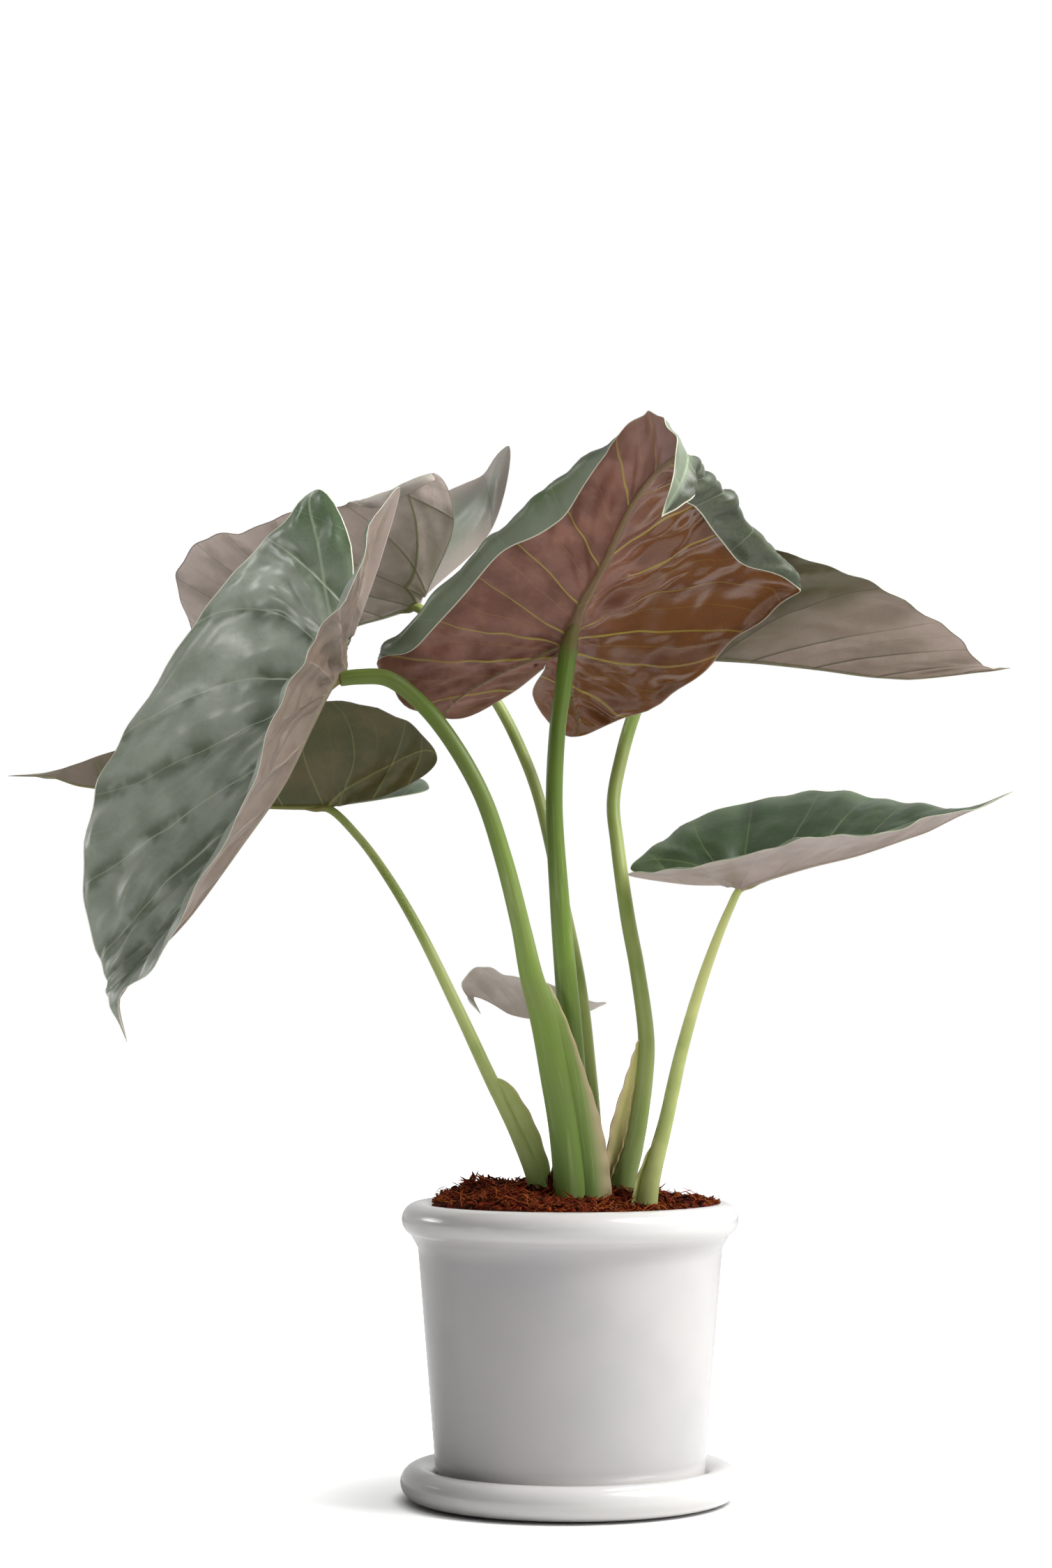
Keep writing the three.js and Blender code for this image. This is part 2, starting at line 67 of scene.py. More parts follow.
# %% The camera
FRAME_HEIGHT = 36                # of the picture on the sensor, in millimetres
FOCAL_LENGTH = 80                # in millimetres too
LOOK_UP = 2.95                   # degrees above level
lens = bpy.data.cameras.new("camera")
lens.sensor_fit = "VERTICAL"
lens.sensor_height = FRAME_HEIGHT
lens.lens = FOCAL_LENGTH
camera = bpy.data.objects.new("camera", lens)
camera.location = (-0.025, -1.988, 0.302)
camera.rotation_euler = (np.radians(90 + LOOK_UP), 0, 0)
bpy.context.scene.collection.objects.link(camera)
bpy.context.scene.camera = camera
bpy.context.scene.view_settings.view_transform = "Standard"
print(f"camera: {FOCAL_LENGTH} mm lens, {-camera.location.y:.2f} m in front of the plant")

# %% [markdown]
# ## Helpers for materials
# Colours are written as hex values, as a paint chart gives them, and Blender wants linear light.
# A material is a small network of nodes, and one function adds a node, sets it and links it. Nearly
# every colour here is built like a glazed painting: a ground, and thin coats that cover it in part.
# Patterns are measured in metres, so a scale of 200 gives cells or clouds five millimetres wide.


# %% Colour and node helpers
def colour(hex_value):
    """Linear RGBA of an sRGB hex colour: each channel is raised by the sRGB curve."""
    channels = np.array([int(hex_value[k:k + 2], 16) for k in (1, 3, 5)]) / 255
    linear = np.where(channels <= 0.04045, channels / 12.92, ((channels + 0.055) / 1.055) ** 2.4)
    return (*linear.tolist(), 1.0)


def add(tree, kind, inputs=None, **settings):
    """Adds one node. Each input, by name or number, is a value to set or a socket to link."""
    made = tree.nodes.new(kind)
    for name, value in settings.items():
        setattr(made, name, value)
    for key, value in (inputs or {}).items():
        if isinstance(value, bpy.types.NodeSocket):
            tree.links.new(value, made.inputs[key])
        else:
            made.inputs[key].default_value = value
    return made


def new_material(name):
    """An empty material, its node tree, and the socket with each point's place in metres."""
    material = bpy.data.materials.new(name)
    material.use_nodes = True
    tree = material.node_tree
    tree.nodes.clear()
    print("finish:", name)
    return material, tree, add(tree, "ShaderNodeTexCoord").outputs["Object"]


def painted(tree, ground, coats, rise="SMOOTHSTEP"):
    """A ground colour under coats of paint, each a mask and a colour. A mask is a socket, or a value
    with the two numbers between which it rises from 0 and the most that it covers, whichever of the
    two is larger. A fifth entry is one more socket, by which the mask is multiplied."""
    paint = colour(ground)
    for mask, tint in coats:
        if isinstance(mask, tuple):
            value, low, high, most, *patches = mask
            mask = add(tree, "ShaderNodeMapRange", {
                "Value": value, "From Min": low, "From Max": high, "To Max": most,
            }, interpolation_type=rise).outputs[0]
            for patch in patches:
                mask = add(tree, "ShaderNodeMath", {0: mask, 1: patch}, operation="MULTIPLY").outputs[0]
        paint = add(tree, "ShaderNodeMix", {"Factor": mask, "A": paint, "B": colour(tint)},
                    data_type="RGBA").outputs["Result"]
    return paint


print("middle grey in linear light:", round(colour("#808080")[0], 3))

# %% [markdown]
# ## Studio
# A product studio: white paper under and behind the plant, and one large softbox up on the right.
# The left and the front of the room stay dark, which is what draws the pot as a round thing. Four
# small shaded lamps on the left light only the leaves there and the stalks. The paper is lit apart
# from the plant in such a studio. Here it glows a little of its own for the camera, less near the
# saucer and not at all under its bead, so that the contact shadow stays.


# %% White paper on the floor
FLOOR_HALF = 6.0                 # half the paper's side, in metres
FLOOR_DROP = 0.0005              # keeps it clear of the saucer's underside
GLOW_RISES = ((0.09, 0.104), (0.1, 0.2))   # from the bead outwards, in metres from the axis
GLOW = 0.5                       # strength that each of the two rises adds


def paper():
    """Diffuse white, plus a glow away from the plant that only cameras see."""
    material, tree, spot = new_material("white studio paper")
    away = add(tree, "ShaderNodeVectorMath", {0: spot}, operation="LENGTH").outputs["Value"]
    beside, beyond = (add(tree, "ShaderNodeMapRange", {
        "Value": away, "From Min": low, "From Max": high, "To Max": GLOW,
    }, interpolation_type="SMOOTHSTEP") for low, high in GLOW_RISES)
    glow = add(tree, "ShaderNodeMath", {0: beside.outputs[0], 1: beyond.outputs[0]})
    seen = add(tree, "ShaderNodeLightPath").outputs["Is Camera Ray"]
    strength = add(tree, "ShaderNodeMath", {0: glow.outputs[0], 1: seen}, operation="MULTIPLY")
    surface = add(tree, "ShaderNodeBsdfPrincipled", {
        "Base Color": colour("#efefee"), "Roughness": 0.9, "Specular IOR Level": 0.1,
        "Emission Color": colour("#ffffff"), "Emission Strength": strength.outputs[0],
    })
    add(tree, "ShaderNodeOutputMaterial", {"Surface": surface.outputs["BSDF"]})
    return material


corners = [(-FLOOR_HALF, -FLOOR_HALF, 0), (FLOOR_HALF, -FLOOR_HALF, 0),
           (FLOOR_HALF, FLOOR_HALF, 0), (-FLOOR_HALF, FLOOR_HALF, 0)]
floor_mesh = bpy.data.meshes.new("paper_floor")
floor_mesh.from_pydata(corners, [], [(0, 1, 2, 3)])
floor_mesh.materials.append(paper())
floor = bpy.data.objects.new("paper_floor", floor_mesh)
floor.location.z = -FLOOR_DROP
bpy.context.scene.collection.objects.link(floor)
floor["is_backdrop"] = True


# %% Softboxes
def softbox(name, place, size, power, aim=(0, 0, 0.25), spread=180):
    """A square area light at place, in metres, turned to face aim. Power is in watts, and spread is
    the angle in degrees that a grid in front of the box leaves open."""
    data = bpy.data.lights.new(name, "AREA")
    data.size = size
    data.energy = power
    data.spread = np.radians(spread)
    light = bpy.data.objects.new(name, data)
    light.location = place
    light.rotation_euler = (Vector(aim) - Vector(place)).to_track_quat("-Z", "Y").to_euler()
    bpy.context.scene.collection.objects.link(light)
    print(f"lamp {name}: {power} W, {size} m wide")


softbox("key", (1.15, -0.35, 1.55), 0.9, 44)
softbox("left fill", (-0.75, -0.35, 0.3), 0.3, 0.12, aim=(-0.2, -0.03, 0.43), spread=36)
softbox("left sheen", (-0.66, 0.14, 0.53), 0.5, 0.13, aim=(-0.2, -0.06, 0.42), spread=30)
softbox("high fill", (-0.55, -0.2, 0.95), 0.25, 0.08, aim=(-0.1, 0.03, 0.56), spread=28)
softbox("stalk fill", (-0.45, -0.95, 0.45), 0.12, 0.02, aim=(0, 0, 0.275), spread=12)

# %% The room round the plant
room = bpy.data.worlds.new("studio room")
room.use_nodes = True
bpy.context.scene.world = room
tree = room.node_tree
tree.nodes.clear()
direction = add(tree, "ShaderNodeTexCoord").outputs["Generated"]
direction = add(tree, "ShaderNodeSeparateXYZ", {"Vector": direction}).outputs
behind, right = (add(tree, "ShaderNodeMapRange", {
    "Value": direction[axis], "From Min": low, "From Max": high, "To Min": least, "To Max": most,
}, interpolation_type="SMOOTHSTEP") for axis, low, high, least, most in (
    ("Y", 0.15, 0.65, 0.02, 0.6), ("X", -0.2, 0.9, 0.0, 0.8)))
brightness = add(tree, "ShaderNodeMath", {0: behind.outputs[0], 1: right.outputs[0]})
seen = add(tree, "ShaderNodeLightPath").outputs["Is Camera Ray"]
brightness = add(tree, "ShaderNodeMath", {0: brightness.outputs[0], 1: seen}, operation="MAXIMUM")
air = add(tree, "ShaderNodeBackground", {"Color": colour("#ffffff"), "Strength": brightness.outputs[0]})
add(tree, "ShaderNodeOutputWorld", {"Surface": air.outputs["Background"]})
print("the room:", len(tree.nodes), "nodes")

# %% [markdown]
# ## Meshes from arrays
# Every piece is a grid of points worked out by a formula. A sheet such as a leaf gets its two faces
# by moving the grid out along its normals, and a strip of triangles closes each free edge.


# %% Curves, soft steps and unevenness
def curve(points, index):
    """A smooth curve through points, asked for by point number: centripetal Catmull-Rom, where
    each stretch is a cubic whose end slopes come from the two neighbours on either side."""
    points = np.asarray(points, float)
    last = len(points) - 1
    index = np.clip(index, 0, last)
    i = np.minimum(np.floor(index).astype(int), last - 1)
    w = (index - i)[..., None]
    padded = np.vstack([2 * points[0] - points[1], points, 2 * points[-1] - points[-2]])
    a, b, c, d = (padded[i + k] for k in range(4))
    gaps = [np.maximum(np.linalg.norm(q - p, axis=-1, keepdims=True), 1e-4) ** 0.5
            for p, q in ((a, b), (b, c), (c, d))]
    leaving = ((b - a) / gaps[0] - (c - a) / (gaps[0] + gaps[1]) + (c - b) / gaps[1]) * gaps[1]
    arriving = ((c - b) / gaps[1] - (d - b) / (gaps[1] + gaps[2]) + (d - c) / gaps[2]) * gaps[1]
    return (b + leaving * w + (3 * (c - b) - 2 * leaving - arriving) * w ** 2
            + (2 * (b - c) + leaving + arriving) * w ** 3)


def smooth(x, low, high):
    """0 below low, 1 above high, and an S-shaped rise between."""
    share = np.clip((x - low) / (high - low), 0, 1)
    return share * share * (3 - 2 * share)


def fold(x):
    """Distance from x to the nearest whole number."""
    return np.abs(x - np.round(x))


def ripples(x, y, shortest, longest, seed, count=14):
    """Soft unevenness: a sum of sine waves with random headings and phases, about -1 to 1."""
    draw = np.random.default_rng(seed)
    total = np.zeros(np.broadcast(x, y).shape)
    for _ in range(count):
        wave, heading, phase = draw.uniform(shortest, longest), *draw.uniform(0, 2 * np.pi, 2)
        total += np.sin(2 * np.pi * (x * np.cos(heading) + y * np.sin(heading)) / wave + phase)
    return total / np.sqrt(2 * count)


print("halfway up a soft step:", smooth(0.5, 0, 1))


# %% Faces of grids and tubes
def grid_faces(rows, columns, flipped=False, start=0):
    """Two triangles for each square of a grid of points, numbered row by row."""
    a = (np.arange(rows - 1)[:, None] * columns + np.arange(columns - 1)).ravel() + start
    b, d, e = a + 1, a + columns, a + columns + 1
    if flipped:
        return np.vstack([np.column_stack([a, d, e]), np.column_stack([a, e, b])])
    return np.vstack([np.column_stack([a, e, d]), np.column_stack([a, b, e])])


def closed_tube(rings, first_pole, last_pole, flipped=False):
    """Points and faces of a tube through rings of points, closed by a pole at each end."""
    count, sides = rings.shape[:2]
    ring = np.arange(sides)
    following = (ring + 1) % sides
    rows = np.arange(count - 1)[:, None] * sides
    a, b = (rows + ring).ravel(), (rows + following).ravel()
    last_ring = (count - 1) * sides
    first, last = np.full(sides, count * sides), np.full(sides, count * sides + 1)
    faces = np.vstack([
        np.column_stack([a, b, b + sides]), np.column_stack([a, b + sides, a + sides]),
        np.column_stack([first, following, ring]),
        np.column_stack([last, last_ring + ring, last_ring + following]),
    ])
    points = np.vstack([rings.reshape(-1, 3), first_pole, last_pole])
    return points, faces[:, ::-1] if flipped else faces


def join(parts):
    """Stacks several lists of points, faces and point fields into one mesh."""
    offsets = np.cumsum([0] + [len(points) for points, _, _ in parts[:-1]])
    return (np.vstack([points for points, _, _ in parts]),
            np.vstack([faces + offset for (_, faces, _), offset in zip(parts, offsets)]),
            {label: np.concatenate([part[2][label] for part in parts]) for label in parts[0][2]})


print("triangles of a grid of 3 by 4 points:", len(grid_faces(3, 4)))


# %% Sheets with two faces
def weld(points, faces, fields):
    """Makes points within a thousandth of a millimetre of each other one, and drops empty faces."""
    _, first, where = np.unique(np.round(points / 0.001).astype(np.int64), axis=0,
                                return_index=True, return_inverse=True)
    faces = where.reshape(-1)[faces]
    real = (faces != np.roll(faces, 1, axis=1)).all(axis=1)
    return points[first], faces[real], {name: field[first] for name, field in fields.items()}


def normals_of(points, faces):
    """Each point's normal: the sum of the area vectors of its triangles, made one long."""
    a, b, c = (points[faces[:, k]] for k in range(3))
    area = np.cross(b - a, c - a)
    total = np.zeros_like(points)
    for k in range(3):
        np.add.at(total, faces[:, k], area)
    return total / np.maximum(np.linalg.norm(total, axis=1, keepdims=True), 1e-12)


def shell(points, faces, fields, over, under):
    """A sheet's two faces, over and under millimetres out from its middle, closed at free edges.
    The slots are 0 for the upper face and the edge and 1 for the underside."""
    normals = normals_of(points, faces)
    count = len(points)
    solid = np.vstack([points + normals * over[:, None], points - normals * under[:, None]])
    edges = np.vstack([faces[:, [0, 1]], faces[:, [1, 2]], faces[:, [2, 0]]])
    _, first, uses = np.unique(np.sort(edges, axis=1), axis=0, return_index=True, return_counts=True)
    start, end = edges[first[uses == 1]].T
    rim = np.vstack([np.column_stack([start, start + count, end]),
                     np.column_stack([end, start + count, end + count])])
    all_faces = np.vstack([faces, faces[:, [0, 2, 1]] + count, rim])
    slots = np.repeat([0, 1, 0], [len(faces), len(faces), len(rim)])
    doubled = {name: np.concatenate([field, field]) for name, field in fields.items()}
    return solid, all_faces, slots, doubled


# %% From points to a piece
def make_piece(name, points, faces, materials, slots=None, fields=None, node=None, record_slot=None):
    """A smooth-shaded object from points in millimetres. fields are written as point attributes."""
    mesh = bpy.data.meshes.new(name)
    mesh.from_pydata((points * MM).tolist(), [], faces.tolist())
    mesh.polygons.foreach_set("use_smooth", np.ones(len(faces), bool))
    for material in materials:
        mesh.materials.append(material)
    if slots is not None:
        mesh.polygons.foreach_set("material_index", slots.astype(np.int32))
    for label, field in (fields or {}).items():
        if field.ndim == 2:
            layer = mesh.attributes.new(label, "FLOAT_VECTOR", "POINT")
            layer.data.foreach_set("vector", field.astype(np.float32).ravel())
        else:
            layer = mesh.attributes.new(label, "FLOAT", "POINT")
            layer.data.foreach_set("value", field.astype(np.float32))
    mesh.update()
    piece = bpy.data.objects.new(name, mesh)
    bpy.context.scene.collection.objects.link(piece)
    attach(piece, "root")
    if node:
        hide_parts(node)
    print(f"{name}: {len(faces)} triangles")
    return piece


# %% [markdown]
# ## The leaves' shapes
# Each blade is drawn between a spine and two margins, all points in millimetres. The spine runs from
# the notch between the back lobes, over the top of the stalk, to the tip. Left and right are those of
# a walker who goes from the stalk to the tip on the upper face, and each margin has the lobe's inner
# edge, its end and its shoulder first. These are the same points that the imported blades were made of.
# Then come the relief's numbers. Each side vein has the row that it starts on, how far it arches back
# towards the stalk and how far it sweeps on towards the tip, and a leaf with one list has it on both
# halves. rib is half the midrib's width at the stalk. The rest are heights in millimetres: of the
# cushions between veins, of long creases on each half, of small puckers by the rib and of the frill
# at the margin. gather draws the last stretch of the blade together into a narrow drip tip, and calm
# is how far from the midrib the relief sets in fully, where a tight fold leaves it little room.

# %% Control points of the seven blades
LEAVES = {
    "front": {
        "spine": [(-14, 10, 472), (-1, -4, 487), (7, -22, 505), (17, -46, 522), (32, -92, 551),
                  (45, -128, 565), (60, -152, 572), (56, -163, 554), (46, -168, 536)],
        "left": [(-21, 33, 457), (0, 52, 435), (30, 46, 444), (65, 36, 462), (105, 20, 497),
                 (131, 0, 522), (109, -30, 540), (84, -78, 565), (71, -115, 569), (67, -145, 567),
                 (62, -160, 547)],
        "right": [(-36, 42, 458), (-66, 62, 446), (-94, 52, 454), (-110, 30, 479), (-97, 6, 493),
                  (-46, -45, 538), (-8, -84, 568), (24, -130, 585), (41, -148, 595), (52, -160, 585),
                  (52, -167, 559)],
        "curl_left": [0, 0, 0, 2, 4, 20, 21, 20, 14, 0, 0],
        "curl_right": [0, 0, 3, 14, 9, 20, 3, 0, 0, 0, 0],
        "bow": (0.04, 0.04), "wave": 1.6,
        "veins_left": [(1.71, -0.03, -0.61), (2.7, 0.33, -0.17), (2.95, 0.01, -0.09),
                       (3.08, -0.72, 0.38), (4.16, -0.52, 0.98), (5.25, -0.08, 0.92), (6.3, 0, 0.8),
                       (7.3, 0, 0.5), (8.3, 0, 0.2)],
        "veins_right": [(1.2, 0, -0.3), (2.41, 0.35, -0.28), (2.86, 0.06, 0.45), (3.17, -0.16, 0.53),
                        (3.97, -0.09, 0.15), (5.02, 0.1, -0.03), (6, 0.04, -0.02), (7, 0, 0),
                        (8, 0, 0), (9, 0, 0)],
        "rib": 4.2, "quilt": 2.0, "crease": (2.6, 1.0), "pucker": 1.1, "frill": 1.3, "gather": 0,
    },
    "hanging": {
        "spine": [(-123, -30, 484), (-129, -32, 468), (-136, -38, 455), (-145, -45, 435),
                  (-160, -54, 402), (-183, -62, 367), (-209, -66, 330), (-237, -68, 295),
                  (-245, -62, 259)],
        "left": [(-107, -45, 526), (-95, -62, 566), (-110, -95, 539), (-122, -112, 501),
                 (-137, -118, 478), (-146, -122, 464), (-157, -128, 437), (-175, -132, 391),
                 (-198, -122, 346), (-224, -98, 305), (-248, -74, 282)],
        "right": [(-125, -20, 543), (-143, -12, 572), (-166, -5, 553), (-193, 0, 524), (-218, 0, 493),
                  (-249, -4, 440), (-270, -10, 400), (-275, -22, 354), (-266, -36, 311),
                  (-258, -48, 291), (-255, -58, 280)],
        "bow": (0.05, 0.05), "wave": 1.6,
        "veins_right": [(1.76, 0.04, -0.48), (2.97, 0.69, -0.06), (3.67, 0.33, 0.57),
                        (4.1, -0.41, 0.95), (5.27, -0.23, 0.92), (6.35, -0.07, 0.97), (7.4, -0.1, 0.7),
                        (8.4, -0.1, 0.3)],
        "rib": 3.0, "quilt": 3.2, "crease": (0.8, 1.8), "pucker": 1.3, "frill": 0.9, "gather": 0.85,
    },
    "back_left": {
        "spine": [(-84, 66, 520), (-90, 70, 515), (-108, 80, 509), (-125, 90, 505), (-157, 105, 494),
                  (-188, 120, 485), (-219, 135, 477)],
        "left": [(-67, 38, 561), (-77, 25, 586), (-109, 25, 576), (-132, 30, 569), (-162, 38, 565),
                 (-191, 55, 557), (-217, 72, 553), (-234, 92, 536), (-230, 115, 510)],
        "right": [(-45, 76, 561), (-35, 70, 609), (-55, 92, 594), (-108, 128, 577), (-143, 150, 574),
                  (-174, 165, 565), (-203, 172, 555), (-222, 170, 537), (-227, 158, 507)],
        "curl_left": [5, 9, 0, 0, 0, 0, 0, 0, 0],
        "bow": (-0.03, 0.05), "wave": 1.5,
        "veins_left": [(1, 0.1, -0.1), (1.99, 0.2, -0.06), (2.15, -0.64, 0.49), (3.14, -0.61, 0.21),
                       (4.1, -0.4, 0.3), (5, -0.2, 0.2), (6, 0, 0.1), (7, 0, 0)],
        "rib": 2.4, "quilt": 1.3, "crease": (0.8, 0.8), "pucker": 0.2, "frill": 0.9, "gather": 0,
    },
    "right": {
        "spine": [(45, 66, 488), (53, 68, 486), (80, 70, 483), (111, 73, 481), (149, 76, 477),
                  (188, 79, 472), (228, 82, 472), (264, 84, 478)],
        "left": [(32, 83, 510), (30, 106, 540), (68, 121, 552), (111, 130, 549), (143, 134, 540),
                 (175, 132, 528), (204, 124, 512), (228, 112, 496), (245, 99, 482), (254, 89, 478)],
        "right": [(28, 46, 510), (26, 28, 537), (66, 24, 547), (109, 28, 544), (141, 34, 537),
                  (173, 42, 526), (202, 52, 512), (228, 64, 497), (244, 76, 481), (254, 82, 478)],
        "bow": (0.06, 0.06), "wave": 1.3,
        "veins_right": [(1, 0, -0.3), (2.2, 0.3, -0.1), (3.3, 0.3, 0), (4.27, 0.25, 0.07),
                        (4.92, -0.13, 0.68), (5.92, -0.07, 0.65), (6.9, -0.05, 0.4), (7.8, 0, 0.2)],
        "rib": 2.6, "quilt": 1.8, "crease": (0.9, 1.2), "pucker": 0.3, "frill": 0.8, "gather": 0.7,
        "calm": 28,
    },
    "low_right": {
        "spine": [(87, -19, 346), (96, -20, 345), (115, -24, 351), (136, -28, 357), (161, -32, 363),
                  (188, -36, 372), (219, -40, 383), (247, -44, 398)],
        "left": [(58, -8, 350), (35, 8, 356), (50, 22, 370), (70, 34, 385), (99, 42, 394),
                 (126, 45, 401), (155, 42, 402), (182, 30, 398), (203, 10, 393), (224, -18, 389)],
        "right": [(65, -40, 346), (31, -62, 351), (44, -78, 353), (68, -84, 354), (99, -88, 363),
                  (125, -90, 369), (150, -88, 372), (179, -80, 375), (203, -68, 384),
                  (227, -54, 389)],
        "bow": (0.06, 0.06), "wave": 1.0,
        "veins_left": [(1, 0, -0.3), (2.2, 0.2, -0.1), (3, -0.1, 0.3), (4, -0.2, 0.7), (5, -0.1, 0.7),
                       (6, -0.1, 0.6), (7, 0, 0.4), (8, 0, 0.2)],
        "rib": 1.8, "quilt": 1.0, "crease": (0.5, 0.5), "pucker": 0.3, "frill": 0.6, "gather": 0.8,
    },
    "low_left": {
        "spine": [(-132, 39, 394), (-142, 40, 393), (-169, 42, 393), (-202, 45, 395),
                  (-235, 48, 400), (-278, 52, 405), (-305, 54, 409), (-329, 55, 412)],
        "left": [(-103, 24, 400), (-76, 8, 419), (-93, 2, 440), (-118, -2, 450), (-144, -4, 451),
                 (-174, -2, 448), (-207, 5, 443), (-240, 18, 434), (-280, 38, 420),
                 (-304, 48, 414)],
        "right": [(-107, 62, 399), (-83, 88, 406), (-94, 112, 416), (-124, 128, 419),
                  (-159, 134, 419), (-193, 134, 419), (-226, 124, 418), (-261, 102, 415),
                  (-292, 78, 411), (-311, 65, 412)],
        "bow": (0.06, 0.06), "wave": 1.0,
        "veins_left": [(0.7, 0.1, -0.1), (1.39, 0.11, -0.34), (2.22, 0.48, 0.49), (3.02, -0.26, 0.24),
                       (3.9, -0.2, 0.3), (4.8, -0.1, 0.3), (5.8, 0, 0.2), (6.8, 0, 0.1), (7.8, 0, 0)],
        "rib": 1.9, "quilt": 1.0, "crease": (0.5, 0.5), "pucker": 0.2, "frill": 0.6, "gather": 0.8,
    },
    "young": {
        "spine": [(-2, 72, 274), (-8, 74, 271), (-21, 76, 270), (-33, 80, 272), (-44, 84, 276),
                  (-52, 88, 272)],
        "left": [(8, 66, 274), (22, 57, 279), (10, 49, 280), (-7, 46, 289), (-21, 46, 292),
                 (-37, 50, 296), (-52, 59, 300), (-63, 72, 290)],
        "right": [(6, 80, 272), (19, 94, 277), (6, 106, 278), (-10, 112, 280), (-25, 114, 281),
                  (-39, 112, 281), (-52, 104, 283), (-60, 94, 282)],
        "bow": (0.05, 0.05), "wave": 0.6,
        "veins_left": [(1, 0, -0.2), (2, 0.1, 0), (3, -0.1, 0.3), (3.8, -0.1, 0.5), (4.6, 0, 0.5),
                       (5.5, 0, 0.3), (6.3, 0, 0.1)],
        "rib": 1.1, "quilt": 0.5, "crease": (0.3, 0.3), "pucker": 0.1, "frill": 0.5, "gather": 0.7,
    },
}

# %% [markdown]
# ## From control points to a blade
# A blade's rows follow its side veins. Row numbers run from the end of the back lobe (0) past the
# notch (2) and the stalk (3) to the tip. Each row is a strip from the spine to the margin, which bows,
# waves near its edge and rolls under where the leaf does. Rows stand closer together at the veins, so
# that a rib half a millimetre high is real geometry, and a smooth blade costs no more than it must.

# %% Where the rows of a blade lie
ROWS_NEAR_VEIN = np.array([0, 0.03, 0.07, 0.14, 0.25, 0.38, 0.5])
RIB_STEPS = np.array([0, 0.25, 0.5, 0.75, 1.0, 1.3, 2.0])   # in half widths of the rib
EDGE_STEPS = np.array([5.0, 3.2, 1.8, 0.8, 0])               # in millimetres from the margin


def side_veins(leaf, hand):
    """Row, arch and sweep of one half's side veins, with both ends of the blade: three arrays. A half
    without a list of its own has the veins of the other half."""
    other = "right" if hand == "left" else "left"
    veins = leaf.get("veins_" + hand) or leaf["veins_" + other]
    return np.array([(0, 0, 0), *veins, (len(leaf["spine"]) + 1, 0, 0)]).T


def blade_rows(leaf):
    """Rows close together round every side vein of either half, so that both halves share them."""
    rows = [0.005, 0.02]
    for hand in ("left", "right"):
        knots = side_veins(leaf, hand)[0]
        offsets = np.concatenate([ROWS_NEAR_VEIN, 1 - ROWS_NEAR_VEIN])
        rows.extend((knots[:-1, None] + np.diff(knots)[:, None] * offsets).ravel())
    rows = np.unique(np.round(rows, 3))
    apart = np.concatenate([[True], np.diff(rows) > 0.008])
    apart[-1] = True
    return rows[apart]


print("rows of the front blade:", len(blade_rows(LEAVES["front"])))

# %% Edges, columns and section of a half blade
ROLL_RADIUS = 3.5               # of an edge that rolls under
ROLL_TURN = np.radians(165)
FULL_ROLL = 5                    # a curl this wide turns the whole way round
CURL_SPACING = 20                # between the curl's widths, which keeps their curve even
WAVES_PER_ROW = 0.45
FRILLS_PER_ROW = 1.15            # of the margin, up and down
SHIFTS_PER_ROW = 1.37            # of the margin, in and out
NARROW = 40                      # a half narrower than this draws its columns together
COSTA_REACH = 0.62               # share of the width where the rib of a back lobe ends
COSTA_ROWS = 2.2                 # and how many rows before the stalk


def edge_lines(leaf, hand):
    """Two functions of the row number. outer gives points of the margin. inner gives points of the
    back lobe's inner edge, then of the spine, which is drawn to the middle near a drip tip."""
    spine = leaf["spine"]
    last = len(spine) + 1
    loops = {side: [spine[0], *leaf[side], spine[-1]] for side in ("left", "right")}

    def outer(u):
        return curve(loops[hand], 2 + u)

    def inner(u):
        line = np.where((u < 2)[..., None], curve(loops[hand], 2 - u), curve(spine, u - 2))
        middle = (curve(loops["left"], 2 + u) + curve(loops["right"], 2 + u)) / 2
        return line + (middle - line) * leaf["gather"] * smooth(u, last - 1.7, last - 0.9)[..., None]

    return inner, outer


def column_shares(leaf, width, middle_columns):
    """Share of the way out for each column of each row: columns stand close at the rib and at the
    margin, by steps in millimetres, and evenly between the two."""
    squeeze = np.minimum(1, width / NARROW)[:, None]
    near = RIB_STEPS * leaf["rib"] * squeeze
    far = width[:, None] - EDGE_STEPS * squeeze
    between = np.linspace(0, 1, middle_columns + 2)[1:-1]
    walked = np.hstack([near, near[:, -1:] + (far[:, :1] - near[:, -1:]) * between, far])
    share = walked / np.maximum(width, 1e-9)[:, None]
    share[width < 1e-3] = np.linspace(0, 1, share.shape[1])
    return share


def rolled_section(width, rolled, share):
    """A strip in section: flat, then round the roll's arc, then the flap beyond it. Gives its
    length, the way walked along it, the roll's whole turn, and how far each point is out and down."""
    full = np.clip(rolled / FULL_ROLL, 0, 1)
    radius = np.clip(rolled / 2, 0.6, ROLL_RADIUS)
    turn = ROLL_TURN * full
    flat = np.maximum(width - radius * full, 0)
    length = flat + radius * turn + np.maximum(rolled - radius, 0)
    walked = share * length
    angle = np.clip((walked - flat) / radius, 0, turn)
    rest = np.maximum(walked - flat - radius * turn, 0)
    reach = np.minimum(walked, flat) + radius * np.sin(angle) + rest * np.cos(turn)
    return length, walked, turn, reach, radius * (1 - np.cos(angle)) + rest * np.sin(turn)


